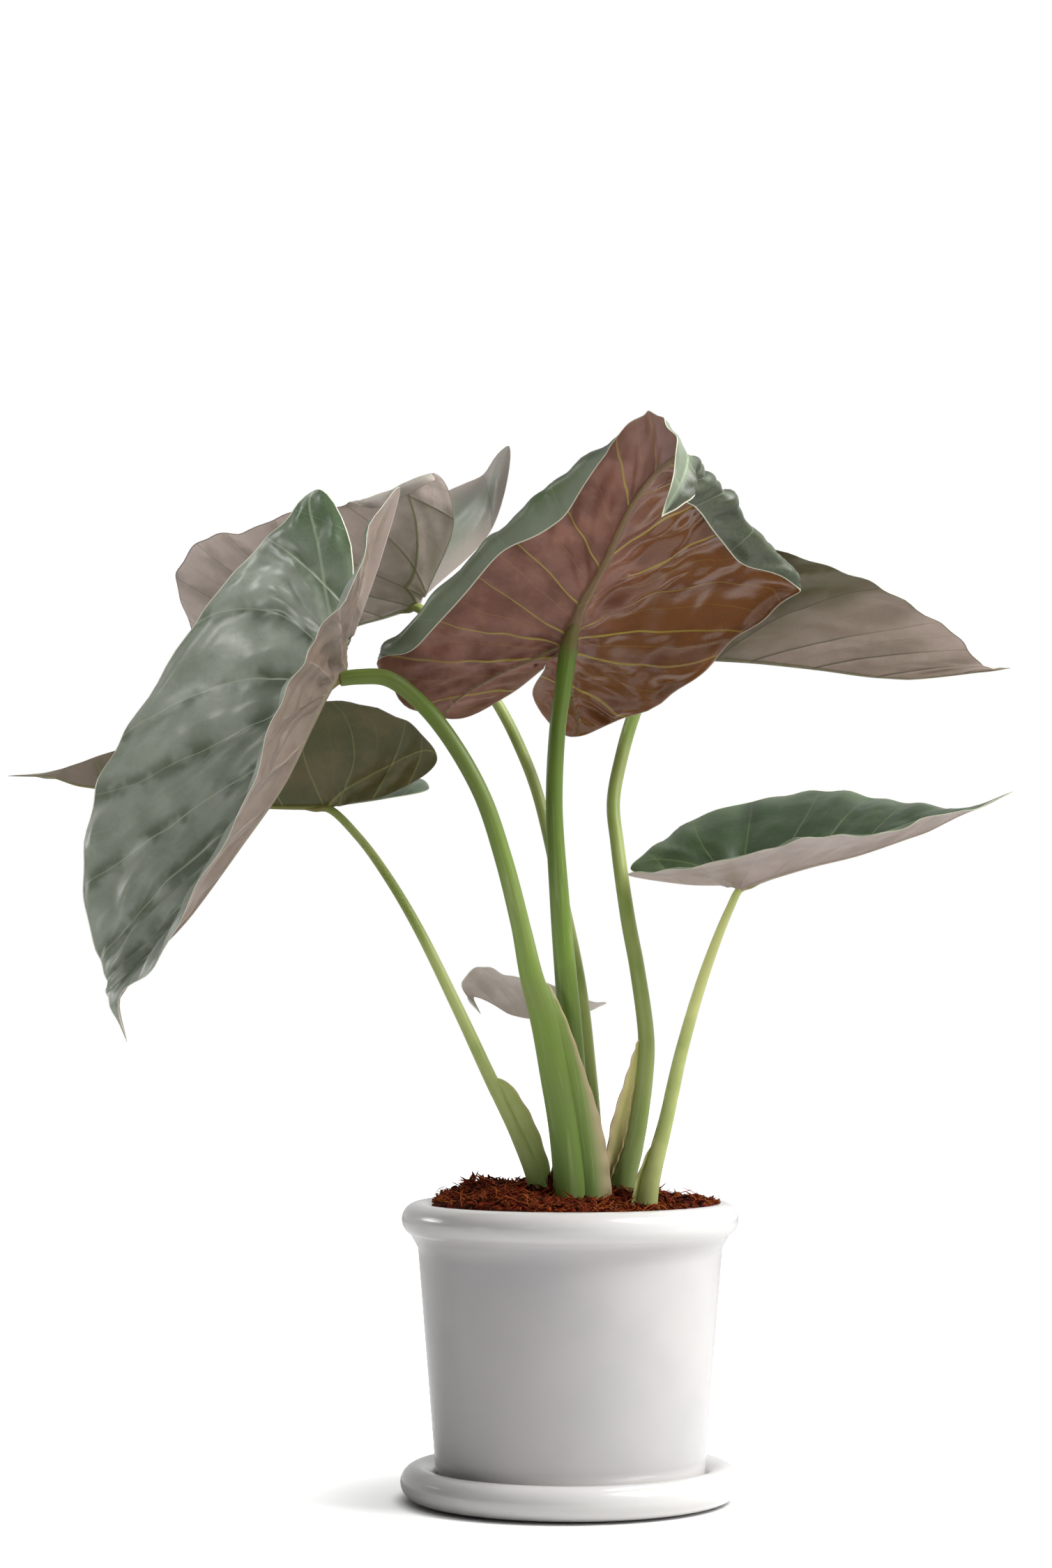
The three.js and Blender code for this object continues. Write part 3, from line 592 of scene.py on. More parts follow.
# %% The half blade as a grid
def half_blade(leaf, hand, rows, middle_columns):
    """Grid points of one half, and for each point the numbers that the veins are drawn from: vein
    number, millimetres between veins, distance from the rib and from the margin, and share of the
    way out. A row is a strip from spine to margin that follows the arch and sweep of its vein. It
    rises by a bow, by slow waves and by the frill, all largest near the edge, less the roll's drop."""
    sign = 0 if hand == "left" else 1
    last = len(leaf["spine"]) + 1
    inner, outer = edge_lines(leaf, hand)
    curl = leaf.get("curl_" + hand, [0] * (last + 1))
    curl_curve = [(CURL_SPACING * k, width) for k, width in enumerate(curl)]
    knots, arches, sweeps = side_veins(leaf, hand)
    share = column_shares(leaf, np.linalg.norm(outer(rows) - inner(rows), axis=1), middle_columns)

    row = np.repeat(rows[:, None], share.shape[1], axis=1)
    fade = np.minimum(1, row) * np.minimum(1, (last - row) / 2)
    arch, sweep = np.interp(row, knots, arches), np.interp(row, knots, sweeps)
    u = np.clip(row + fade * (sweep * share - arch * 4 * share * (1 - share)), 0, last)

    start, end = inner(u), outer(u)
    across = end - start
    width = np.linalg.norm(across, axis=-1)
    across = across / np.maximum(width, 1e-9)[..., None]
    inside = np.clip(u, 0.35, last - 0.3)
    step = 0.02
    along = inner(inside + step) - inner(inside - step) + outer(inside + step) - outer(inside - step)
    up = np.cross(along, outer(inside) - inner(inside))
    up /= np.linalg.norm(up, axis=-1, keepdims=True)
    up *= 1 if hand == "left" else -1

    rolled = np.clip(curve(curl_curve, u)[..., 1], 0, 0.6 * width)
    length, walked, turn, reach, drop = rolled_section(width, rolled, share)
    part = np.clip(walked / np.maximum(length, 1e-9), 0, 1)
    edge_fade = np.minimum(1, (last - u) / 2) * np.minimum(1, u)
    frill = leaf["frill"] * edge_fade * smooth(share, 0.55, 1)
    reach += 0.8 * frill * np.sin(2 * np.pi * SHIFTS_PER_ROW * u + 4 * sign) * np.cos(turn * 0.5)
    rise = (width * leaf["bow"][sign] * 4 * part * (1 - part) - drop
            + leaf["wave"] * edge_fade * part ** 3 * np.sin(2 * np.pi * WAVES_PER_ROW * u + 2 * sign)
            + frill * np.sin(2 * np.pi * FRILLS_PER_ROW * u + 1 + 3 * sign))
    points = start + across * reach[..., None] + up * rise[..., None]

    spacing = np.diff(knots)[np.clip(np.searchsorted(knots, row, side="right") - 1, 0, len(knots) - 2)]
    moved = np.gradient(points, rows, axis=0)
    sideways = np.gradient(points, axis=1)
    sideways /= np.maximum(np.linalg.norm(sideways, axis=-1, keepdims=True), 1e-9)
    moved -= (moved * sideways).sum(-1, keepdims=True) * sideways
    per_row = np.linalg.norm(moved, axis=-1)
    costa = COSTA_REACH * (np.maximum(3 - row, 0) / COSTA_ROWS) ** 1.5
    edge = np.where(row < 2, np.minimum(length - walked, walked), length - walked)
    return {"points": points, "row": row, "vein": np.interp(row, knots, np.arange(len(knots))),
            "gap": per_row * spacing, "per_row": per_row, "rib": (share - costa) * length, "edge": edge,
            "share": share, "side": np.full(share.shape, 1.0 - 2 * sign), "width": width}


# %% [markdown]
# ## Relief of a living blade
# On the underside the midrib, the ribs of the back lobes and the side veins stand out, thick at the
# stalk and fine at the margin. On the upper face they lie in shallow grooves. The skin between them is
# puffed up in cushions, drawn into long soft creases beside the veins, and never quite even.


# %% A whole blade
RIB_HEIGHT = 0.7                 # of the midrib, in its own half widths
SIDE_HEIGHT = 0.17               # of a side vein's rib, in half widths of the midrib
GROOVES = (0.16, 0.5)            # depths on the upper face, as shares of those two heights
EDGE_SKIN = 0.12                 # half the skin's thickness at the margin
MORE_SKIN = 0.16                 # what it gains in the first four millimetres


def blade(name, upper, under, record_slot, middle_columns=26):
    """Two half blades welded along the spine, then given thickness. The middle surface moves by
    cushions, which are sin squared between two veins, by creases, which are waves stretched along
    the veins less the size of slower ones, and by small puckers near the rib. All fade where the
    blade is narrow. Ribs are half ellipses on the underside."""
    leaf = LEAVES[name]
    rows = blade_rows(leaf)
    halves = [half_blade(leaf, hand, rows, middle_columns) for hand in ("left", "right")]
    columns = halves[0]["share"].shape[1]
    points = np.vstack([half["points"].reshape(-1, 3) for half in halves])
    data = {key: np.concatenate([half[key].ravel() for half in halves])
            for key in halves[0] if key != "points"}
    faces = np.vstack([grid_faces(len(rows), columns, True),
                       grid_faces(len(rows), columns, False, len(rows) * columns)])
    points, faces, data = weld(points, faces, data)

    last = len(leaf["spine"]) + 1
    row, vein, rib, edge, share = (data[key] for key in ("row", "vein", "rib", "edge", "share"))
    ends = np.minimum(1, row) * np.minimum(1, (last - row) * 1.2)
    to_tip = np.clip((row - 3) / (last - 3), 0, 1)
    rib_width = leaf["rib"] * np.where(row < 3, 0.72 - 0.58 * (3 - row) / 3, 1 - 0.88 * to_tip ** 0.8)
    rib_height = RIB_HEIGHT * rib_width * np.sqrt(np.clip(1 - (rib / rib_width) ** 2, 0, 1)) * ends
    side_width = leaf["rib"] * (0.26 - 0.15 * share) + 0.25
    side_height = (SIDE_HEIGHT * leaf["rib"] * (1 - 0.75 * share)
                   * np.exp(-(fold(vein) * data["gap"] / side_width) ** 2) * smooth(edge, 0.5, 6) * ends)

    seed = sum(ord(letter) for letter in name)
    x, y = row * np.median(data["per_row"]), rib * data["side"]
    clear = smooth(np.abs(rib), 0.5, leaf.get("calm", 9)) * smooth(edge, 0, 9)
    clear = clear * ends * np.minimum(1, data["width"] / 30)
    cushion = np.sin(np.pi * vein) ** 2 * (0.8 + 0.3 * ripples(x, y, 14, 30, seed + 1))
    crease = np.where(data["side"] > 0, leaf["crease"][0], leaf["crease"][1])
    crease = crease * (ripples(x, y * 0.45, 13, 24, seed + 2)
                       - 0.5 * np.abs(ripples(x, y * 0.4, 20, 32, seed + 3)))
    pucker = leaf["pucker"] * (1 - 0.7 * share) * ripples(x, y * 0.7, 8, 12, seed)
    lift = (leaf["quilt"] * cushion + crease + pucker) * clear
    near_stalk = np.linalg.norm(points - np.array(leaf["spine"][1]), axis=1)
    knuckle = 0.7 * leaf["rib"] * np.exp(-(near_stalk / (1.7 * leaf["rib"])) ** 2)
    half_skin = EDGE_SKIN + MORE_SKIN * smooth(edge, 0, 4)

    over = half_skin + lift - GROOVES[0] * rib_height - GROOVES[1] * side_height
    beneath = half_skin - lift + np.maximum(rib_height, side_height) + knuckle
    veins = np.column_stack([vein, data["gap"], rib / np.maximum(rib_width, 0.3)])
    place = np.column_stack([edge, row / last, share * data["side"]])
    solid, faces, slots, fields = shell(points, faces, {"veins": veins, "place": place}, over, beneath)
    return make_piece(name + "_blade", solid, faces, [upper, under], slots, fields,
                      node="blade_" + name, record_slot=record_slot)


# %% [markdown]
# ## Leaf skin
# A leaf is a wax-coated skin over green flesh, satin to the eye. The upper face looks grey-green
# because it mirrors the bright room, and on the hanging leaf and the back left leaf part of that sheen
# is painted into a paler colour. The underside keeps its own dye, taupe to bronze, but the taupe is
# painted lighter or darker leaf by leaf as light falls on each, and olive where light comes through
# the leaf. Shade is painted in broken strips beside the side veins. Veins are drawn from the blade's
# own numbers, so a side vein is the set of points within half its width of a whole vein number, and
# stays a fraction of a millimetre wide everywhere. A fainter net of cells, about five millimetres
# wide, fills the space between them.


# %% One function for every leaf finish
NET_CELLS = 210                  # cells of the net in a metre


def leaf_skin(name, base, shade, vein, rib, rim, glow=None, tip=None, half=None, mottle=0.6,
              vein_mix=0.6, rib_mix=0.5, vein_width=0.45, net=0.05, gloss=0.42, half_gloss=None,
              coat=0.15, cloud=38, painted_vein_shade=0.0):
    """Skin in coats: cloudy darker tone, glow near the margin, one half's tint, a tint at the tip or
    the lobes, broken strips of painted shade beside the side veins, net, fine and side veins, rib and
    the thin edge line. half and tip are the ends and the most of a mask, and a colour. vein_width is
    half a vein's width in millimetres, and cloud is how many clouds fit in a metre. gloss is the
    roughness, and half_gloss that of the tinted half."""
    material, tree, spot = new_material(name)
    veins, place = (add(tree, "ShaderNodeSeparateXYZ", {
        "Vector": add(tree, "ShaderNodeAttribute", attribute_name=label).outputs["Vector"],
    }).outputs for label in ("veins", "place"))
    clouds = add(tree, "ShaderNodeTexNoise", {
        "Vector": spot, "Scale": cloud, "Detail": 5, "Roughness": 0.6,
    }).outputs["Fac"]
    cells = add(tree, "ShaderNodeTexVoronoi", {"Vector": spot, "Scale": NET_CELLS},
                feature="DISTANCE_TO_EDGE").outputs["Distance"]
    patches = add(tree, "ShaderNodeTexNoise", {"Vector": spot, "Scale": 55, "Detail": 2}).outputs["Fac"]
    rib_away, out_share = (add(tree, "ShaderNodeMath", {0: value}, operation="ABSOLUTE").outputs[0]
                           for value in (veins["Z"], place["Z"]))
    nearest = [add(tree, "ShaderNodeMath", {0: veins["X"], 1: step}, operation="PINGPONG").outputs[0]
               for step in (0.5, 0.25)]
    away, finer = (add(tree, "ShaderNodeMath", {0: part, 1: veins["Y"]}, operation="MULTIPLY").outputs[0]
                   for part in nearest)
    thinner, patchy, uneven, sheen = (add(tree, "ShaderNodeMapRange", {
        "Value": value, "From Min": low, "From Max": high, "To Min": start, "To Max": end,
    }, interpolation_type="SMOOTHSTEP").outputs[0] for value, low, high, start, end in (
        (out_share, 0.2, 1.0, 1.0, 0.35), (patches, 0.4, 0.58, 0.0, 1.0),
        (clouds, 0.3, 0.7, -0.06, 0.06), (place["Z"], -0.1, 0.25, gloss, half_gloss or gloss)))

    coats = [((clouds, 0.36, 0.66, mottle), shade)]
    if glow:
        coats.append(((place["X"], 24, 1, 0.8), glow))
    coats += [((value, *own[0]), own[1]) for value, own in ((place["Z"], half), (place["Y"], tip)) if own]
    # The strips beside the side veins are painted shade: darker where the grooves by the veins would lie
    # in shadow, broken up by patches.
    coats += [((away, 10, 1, painted_vein_shade, patchy), shade), ((cells, 0.1, 0.02, net), vein),
              ((finer, 0.8 * vein_width, 0.2 * vein_width, 0.22 * vein_mix), vein),
              ((away, 1.5 * vein_width, 0.5 * vein_width, vein_mix, thinner), vein),
              ((rib_away, 1.2, 0.7, rib_mix), rib), ((place["X"], 0.9, 0.4, 1.0), rim)]
    satin = add(tree, "ShaderNodeMath", {0: uneven, 1: sheen}, operation="ADD").outputs[0]
    grain = add(tree, "ShaderNodeTexNoise", {"Vector": spot, "Scale": 300, "Detail": 3}).outputs["Fac"]
    bump = add(tree, "ShaderNodeBump", {"Height": grain, "Strength": 0.3, "Distance": 0.0005})
    surface = add(tree, "ShaderNodeBsdfPrincipled", {
        "Base Color": painted(tree, base, coats), "Roughness": satin, "IOR": 1.5,
        "Normal": bump.outputs[0], "Subsurface Weight": 0.06, "Subsurface Radius": (0.6, 0.9, 0.3),
        "Subsurface Scale": 0.001, "Coat Weight": coat, "Coat Roughness": 0.25,
    })
    add(tree, "ShaderNodeOutputMaterial", {"Surface": surface.outputs["BSDF"]})
    return material


# %% The leaf finishes of this plant
grey_green = leaf_skin("waxy grey-green leaf face", "#727d6c", "#55634a", "#8e9b83", "#93a184",
                       "#cfd0b8", glow="#7f8c7a", tip=((0.86, 0.97, 0.9), "#d9d2c6"), coat=0.2)
# The hanging leaf's pale face is partly its own silvery grey-green and partly painted sheen: the bright
# room's reflection painted into the colour.
silvery_face_with_painted_sheen = leaf_skin("silvery leaf face, deep green at the lobe", "#9ba194", "#505d44", "#b2bba6",
                         "#a3ad92", "#cfd0b8", tip=((0.24, 0.08, 0.8), "#34521f"), mottle=0.4,
                         vein_mix=0.75, vein_width=0.5, gloss=0.38, coat=0.2, cloud=30, painted_vein_shade=0.75)
# The front leaf's rolled edges are painted as if lit: pale grey-green near the margin and darker green
# towards the fold, a painted shading of the roll, and much darker on the leaf's own left half, a painted
# shade.
rolled_face_with_painted_shade = leaf_skin("leaf face inside the rolled edge, green with painted shade", "#4d6234", "#42552c",
                         "#8e9b83", "#8f9f80", "#cfd0b8", glow="#7d8574", vein_mix=0.5,
                         half=((0.05, 0.4, 0.9), "#2c331a"), tip=((0.975, 1.0, 0.9), "#b59a3a"),
                         gloss=0.46, coat=0.05)
# The back left leaf's pale face is partly its own colour and partly painted sheen: the bright room's
# reflection painted into the colour.
flushed_face_with_painted_sheen = leaf_skin("pale leaf face with painted sheen and a flushed margin", "#9aa191", "#7f8a78", "#7d8a70",
                          "#8f9f80", "#b5a59c", glow="#b3a49e")
deep_green = leaf_skin("deep green leaf face", "#34462d", "#263620", "#5a6a45", "#64744a", "#a9ac88",
                       glow="#4d5e41", mottle=0.7, gloss=0.48, painted_vein_shade=0.6)
bronze_back = leaf_skin("bronze leaf underside", "#9b6858", "#683d2f", "#ad9744", "#77623c", "#ab9484",
                        glow="#85583f", half=((0.0, 0.35, 0.85), "#7a4a22"), vein_mix=1.0,
                        tip=((0.55, 0.76, 0.55), "#a3847d"), rib_mix=0.75, vein_width=0.6,
                        mottle=0.7, net=0.02, gloss=0.5, half_gloss=0.25, painted_vein_shade=0.5)
# taupe_back, pink_back, rose_back and young_back are one taupe underside in lighter and darker copies,
# each made lighter or darker to match how its leaf is lit: painted light and shade. taupe_back is the
# palest, painted light for light that comes through that leaf; the pink and rose tints and the young
# leaf's paleness are partly their own.
taupe_back = leaf_skin("taupe leaf underside", "#d8c5bd", "#9b8c81", "#7d784e", "#7e7d50", "#7f7068",
                       glow="#d8c6bf", vein_mix=0.8, rib_mix=0.75, mottle=0.4, gloss=0.44, painted_vein_shade=0.6)
pink_back = leaf_skin("pinkish taupe leaf underside", "#857569", "#6c5d51", "#a09084", "#8c8268",
                      "#b5a69a", glow="#94847b", rib_mix=0.6, painted_vein_shade=0.4)
rose_back = leaf_skin("rosy taupe leaf underside", "#95847b", "#7c6c62", "#8a7a6c", "#978c74",
                      "#bbaca0", glow="#a3938a", rib_mix=0.6, painted_vein_shade=0.3)
# Its olive is partly painted light: the low left leaf's underside is drawn as it looks with light coming
# through it from above.
olive_underside_lit_through = leaf_skin("olive leaf underside, partly painted light through the leaf", "#60562a", "#3c4517", "#7c7c40", "#80803f", "#6f6052",
                       tip=((0.62, 0.8, 1.0), "#7b6c5e"), vein_mix=0.65, rib_mix=0.75, gloss=0.46,
                       painted_vein_shade=0.4)
# The olive tint over the back lobes and round the stalk is painted light: the colour the right leaf's
# underside takes where light comes through it.
umber_back = leaf_skin("umber leaf underside", "#ad988a", "#958473", "#5c543e", "#67613f", "#6a5f56",
                       tip=((0.56, 0.43, 0.9), "#544f2b"), glow="#b0998f", vein_mix=0.85, rib_mix=0.8,
                       painted_vein_shade=0.35)
young_back = leaf_skin("young leaf underside", "#c2b6ae", "#a1958a", "#9a9080", "#a39a8a", "#d8ccc4",
                       glow="#cdbfb8", tip=((0.9, 1.0, 0.9), "#d9d2c6"), vein_mix=0.3, rib_mix=0.4,
                       painted_vein_shade=0.5)

# %% The seven blades
blade("front", rolled_face_with_painted_shade, bronze_back, "leaf_bronze", middle_columns=46)
blade("hanging", silvery_face_with_painted_sheen, pink_back, "leaf_grey_green", middle_columns=36)
blade("back_left", flushed_face_with_painted_sheen, taupe_back, "leaf_taupe", middle_columns=30)
blade("right", deep_green, umber_back, "leaf_taupe")
blade("low_right", deep_green, rose_back, "leaf_grey_green", middle_columns=20)
blade("low_left", deep_green, olive_underside_lit_through, "leaf_olive", middle_columns=20)
blade("young", grey_green, young_back, "leaf_taupe", middle_columns=12)

# %% [markdown]
# ## Stalks
# An alocasia's leaf stalk is a smooth, watery tube. Low down it opens into a sheath: a thin wing that
# once wrapped the next leaf and now stands off with a pale, wavy edge. The tube is an oval carried
# along a curve, and the wing is a sheet between the tube's middle and the wing's own edge line.

# %% Routes of the stalks, and the edges of their wings
STALKS = {
    "front": {
        "path": [(7, 8, 149, 9), (6, 8, 180, 8.5), (3, 6, 216, 7.5), (1, 3, 255, 6.8),
                 (-2, 0, 290, 6.4), (-6, -4, 339, 5.6), (-9, -9, 392, 4.8), (-7, -10, 436, 4.7),
                 (-4, -9, 458, 4.8), (-1, -8, 480, 5.4)],
    },
    "hanging": {
        "path": [(-0.3, -14, 149, 9.2), (-0.5, -15, 178, 9.2), (-3.7, -17, 209, 8.6),
                 (-8.9, -19, 240, 8.4), (-15.3, -22, 272, 7.8), (-22, -24, 295, 6.6),
                 (-28, -27, 323, 5.4), (-38, -30, 362, 5), (-50, -33, 397, 4.7), (-69, -35, 430, 4.6),
                 (-86, -36, 450, 4.6), (-103, -36, 462, 4.6), (-119, -35, 463, 4.4),
                 (-129, -33, 462, 4.2)],
        "wing": [(23.5, -8, 149), (23, -9, 178), (18.2, -11, 209), (8.7, -14, 240), (-2.8, -19, 272),
                 (-14.2, -22, 295)],
    },
    "back_left": {
        "path": [(14, 26, 149, 5.5), (14, 26, 199, 5), (11, 28, 244, 4.2), (6, 34, 290, 3.8),
                 (-4, 44, 340, 3.6), (-18, 56, 401, 3.4), (-28, 62, 428, 3.4), (-41, 66, 454, 3.3),
                 (-64, 69, 487, 3.1), (-90, 69, 513, 3)],
    },
    "right": {
        "path": [(27, 12, 149, 8.5), (30, 12, 176, 7.5), (37, 14, 200, 5.6), (43, 16, 239, 5),
                 (44, 18, 259, 4.7), (39, 22, 299, 4.4), (34, 28, 327, 4.3), (28, 39, 372, 4),
                 (26, 46, 396, 3.9), (31, 55, 423, 3.9), (39, 63, 450, 4), (53, 68, 484, 4)],
        "wing": [(19, 8, 149), (20, 8, 178), (23, 8, 208), (33, 11, 240), (40, 15, 262)],
    },
    "low_right": {
        "path": [(42, -8, 149, 6.5), (45, -9, 177, 5.5), (54, -11, 213, 4.2), (63, -13, 253, 3.6),
                 (76, -16, 297, 3), (90, -19, 333, 2.3), (96, -20, 344, 2.1)],
        "wing": [(34, -12, 149), (36, -13, 177), (49, -14, 207)],
    },
    "low_left": {
        "path": [(-13, 0, 149, 7), (-18, 0, 177, 6), (-30, 2, 206, 4.6), (-45, 5, 236, 3.8),
                 (-63, 12, 274, 3.4), (-87, 22, 322, 3), (-105, 30, 352, 2.7), (-122, 36, 375, 2.4),
                 (-140, 39, 392, 2.3)],
        "wing": [(-7, -2, 149), (-10, -3, 180), (-21, -2, 214), (-38, 3, 240)],
    },
    "young": {
        "path": [(-1, 28, 149, 3.4), (0, 29, 179, 3), (1, 37, 215, 2.5), (-2, 55, 248, 2.2),
                 (-8, 73, 270, 2)],
    },
}
STALK_BASE = 151                 # the stalks end here, inside the coir
STALK_SIDES = 28
NECK_LENGTH = 14                 # of the stretch that thins out under the midrib
SHOULDER = 0.35                  # of a point: the stretch in which a wing rounds off
WING_BOW = 0.22                  # how far a wing bows outwards, in widths of its own
WING_EDGE = 0.35                 # a wing's thickness at its edge
# The tint is 0 for fresh green and 1 for straw green. A pale sheath is one seen from its inside, and
# a broad one fades to tan over half its width.
STALK_TINT = {"front": 0.05, "hanging": 0.14, "back_left": 0.45, "right": 0.36, "low_right": 1.0,
              "low_left": 0.52, "young": 0.5}
PALE_SHEATHS = ("right",)
BROAD_SHEATHS = ("hanging", "right")


# %% The neck of a stalk
def stalk_neck(leaf, path):
    """Two more points and half widths, which carry the stalk on under the midrib while it thins.
    They lie on the way from the stalk's top to the next spine point, a little to the underside. The
    underside faces against the cross product of the way ahead and the way from right to left."""
    here, ahead = np.array(leaf["spine"][1], float), np.array(leaf["spine"][2], float)
    across = np.array(leaf["left"][4], float) - leaf["right"][4]
    under = -np.cross(ahead - here, across)
    under /= np.linalg.norm(under)
    step = (ahead - here) * min(1, NECK_LENGTH / np.linalg.norm(ahead - here))
    width = path[-1][3]
    return [(*(here + 0.45 * step + under * 0.5 * width), 0.72 * width),
            (*(here + step + under * 0.1 * width), 0.35 * width)]


# %% The tube of a stalk
def stalk_tube(path, top):
    """An oval carried along the path: rings of points round a smooth curve, wider than deep where
    the stalk is broad, with shallow lengthwise flutes, closed by a middle point at each end. top is
    the number of the point where the neck under the midrib starts."""
    centre = [point[:3] for point in path]
    first = (STALK_BASE + 0.2 - path[0][2]) / (path[1][2] - path[0][2])
    index = np.linspace(first, len(path) - 1, 16 * (len(path) - 1))[:, None]
    middle = curve(centre, index[:, 0])
    run = np.concatenate([[0], np.cumsum(np.linalg.norm(np.diff(middle, axis=0), axis=1))])
    along = curve(centre, index[:, 0] + 0.05) - curve(centre, index[:, 0] - 0.05)
    along /= np.linalg.norm(along, axis=1, keepdims=True)
    side = np.cross((0, 1, 0), along)
    side /= np.linalg.norm(side, axis=1, keepdims=True)
    deep = np.cross(along, side)
    half_width = np.interp(index, np.arange(len(path)), [point[3] for point in path])
    half_depth = np.minimum(half_width, 0.55 * half_width + 2.2)
    turn = np.linspace(0, 2 * np.pi, STALK_SIDES, endpoint=False)[None, :]
    flutes = 1 + 0.008 * np.sin(5 * turn + 0.3 * index)
    rings = (middle[:, None] + side[:, None] * (half_width * np.cos(turn) * flutes)[..., None]
             + deep[:, None] * (half_depth * np.sin(turn) * flutes)[..., None])
    points, faces = closed_tube(rings, middle[:1], middle[-1:] + along[-1:] * 0.8)
    height = np.concatenate([np.repeat(index[:, 0], STALK_SIDES), index[:1, 0], index[-1:, 0]])
    around = np.concatenate([np.tile(turn[0], len(index)), [0, 0]])
    length = np.concatenate([np.repeat(run, STALK_SIDES), run[:1], run[-1:]])
    radius = np.mean([point[3] for point in path])
    place = np.column_stack([height / top, np.zeros(len(height)), np.zeros(len(height))])
    threads = np.column_stack([radius * np.cos(around), radius * np.sin(around), length])
    return points, faces, {"place": place, "threads": threads}


# %% The wing of a sheath
def stalk_wing(path, edge, seed, top, frill_height=0.7, wave=13, thickness=1.5):
    """A sheet from the tube's middle to the wing's edge, bowed outwards, wavy and thin at its edge.
    Its last third of a point narrows as a quarter of an ellipse, which rounds the shoulder."""
    rows, columns = 26 * (len(edge) - 1), 22
    end = len(edge) - 1
    index, share = np.meshgrid(np.linspace(0.07, end, rows), np.linspace(0, 1, columns), indexing="ij")
    root = curve([point[:3] for point in path[:len(edge)]], index)
    shoulder = np.sqrt(1 - np.clip((index - end + SHOULDER) / SHOULDER, 0, 1) ** 2)
    across = (curve(edge, index) - root) * shoulder[..., None]
    width = np.linalg.norm(across, axis=-1, keepdims=True)
    out = np.cross(across, (0, 0, 1))
    out /= np.maximum(np.linalg.norm(out, axis=-1, keepdims=True), 1e-9)
    bow = WING_BOW * width[..., 0] * np.sin(np.pi * share) ** 1.5
    height = index * 30
    frill = frill_height * share ** 4 * np.sin(2 * np.pi * height / wave + seed)
    frill = frill * smooth(width[..., 0], 2, 8)
    points = root + across * share[..., None] + out * (bow + frill)[..., None]
    thick = thickness - (thickness - WING_EDGE) * share ** 0.7
    place = np.stack([index / top, np.zeros_like(share), share], axis=-1)
    threads = np.stack([width[..., 0] * share, np.full_like(share, 40), height], axis=-1)
    fields = {"place": place.reshape(-1, 3), "threads": threads.reshape(-1, 3), "thick": thick.ravel()}
    points, faces, fields = weld(points.reshape(-1, 3), grid_faces(rows, columns, True), fields)
    half = fields.pop("thick") / 2
    solid, faces, _, fields = shell(points, faces, fields, half, half)
    return solid, faces, fields


def sheath_lip(path, count):
    """Edge line of the sheath's second, narrow edge, which lies on the tube's flank towards the
    front: the tube's half width and a little more to the left, and 0.6 of it forwards."""
    return [(x - 0.97 * half - 1.2, y - 0.6 * half, z) for x, y, z, half in path[:count]]


# %% [markdown]
# ## Stalk skin
# The skin of a stalk is smooth and satin, green with fine lengthwise threads. The wings fade to a
# pinkish tan at the edge, most of all low down, and a wing's inside is pale yellow-green.


# %% Stalk material
def stalk_skin():
    """Layers from the base to the top: a green between fresh and straw, bluer near the soil, olive
    where it joins the midrib, with pale threads, fresher clouds, a pale inside and a tan edge."""
    material, tree, spot = new_material("smooth green leaf stalk")
    place, look = (add(tree, "ShaderNodeSeparateXYZ", {
        "Vector": add(tree, "ShaderNodeAttribute", attribute_name=label).outputs["Vector"],
    }).outputs for label in ("place", "look"))
    thread_spot = add(tree, "ShaderNodeAttribute", attribute_name="threads").outputs["Vector"]
    thread_spot = add(tree, "ShaderNodeMapping", {"Vector": thread_spot, "Scale": (0.5, 0.5, 0.02)})
    threads = add(tree, "ShaderNodeTexNoise", {
        "Vector": thread_spot.outputs[0], "Scale": 1.0, "Detail": 3, "Roughness": 0.5,
    }).outputs["Fac"]
    clouds = add(tree, "ShaderNodeTexNoise", {"Vector": spot, "Scale": 26, "Detail": 3}).outputs["Fac"]
    paint = painted(tree, "#506a1a", [
        (look["X"], "#cbd184"), ((place["X"], 0.3, 0.0, 0.5), "#62864a"),
        ((clouds, 0.42, 0.66, 0.45), "#688626"), ((threads, 0.5, 0.8, 0.3), "#b1b888"),
        (look["Y"], "#e6df9a"), ((place["X"], 0.95, 1.06, 0.8), "#77683a"), (look["Z"], "#c9b090"),
    ])
    surface = add(tree, "ShaderNodeBsdfPrincipled", {"Base Color": paint, "Roughness": 0.42, "IOR": 1.42})
    add(tree, "ShaderNodeOutputMaterial", {"Surface": surface.outputs["BSDF"]})
    return material


# %% The seven stalks
green_stalk = stalk_skin()
for number, (name, stalk) in enumerate(STALKS.items()):
    path = stalk["path"]
    top = len(path) - 1
    parts = [stalk_tube(path + stalk_neck(LEAVES[name], path), top)]
    if "wing" in stalk:
        parts.append(stalk_wing(path, stalk["wing"], number, top))
    if name in PALE_SHEATHS:
        parts.append(stalk_wing(path, sheath_lip(path, 4), number, top, 0.9, 9, 0.9))
    points, faces, fields = join(parts)
    height, _, out = fields["place"].T
    # A pale sheath's inside is its own pale yellow-green, painted paler still: painted light where the
    # thin sheet would be lit through from behind.
    inside = smooth(out, 0.1, 0.4) * (0.9 if name in PALE_SHEATHS else 0)
    tan_start = 0.45 + 0.4 * smooth(height, 0.1, 0.35) if name in BROAD_SHEATHS else 0.86
    tan = smooth(out, tan_start, 1.02) * 0.75
    fields["look"] = np.column_stack([np.full(len(inside), STALK_TINT[name]), inside, tan])
    make_piece(name + "_stalk", points, faces, [green_stalk], fields=fields, node="stalk_" + name,
               record_slot="stalk_green")

# %% [markdown]
# ## Pot and saucer
# Both are slip-cast stoneware under a thick white glaze. Their outlines are turned round the axis,
# with every arc fine enough to stay round in a mirror-like glaze.

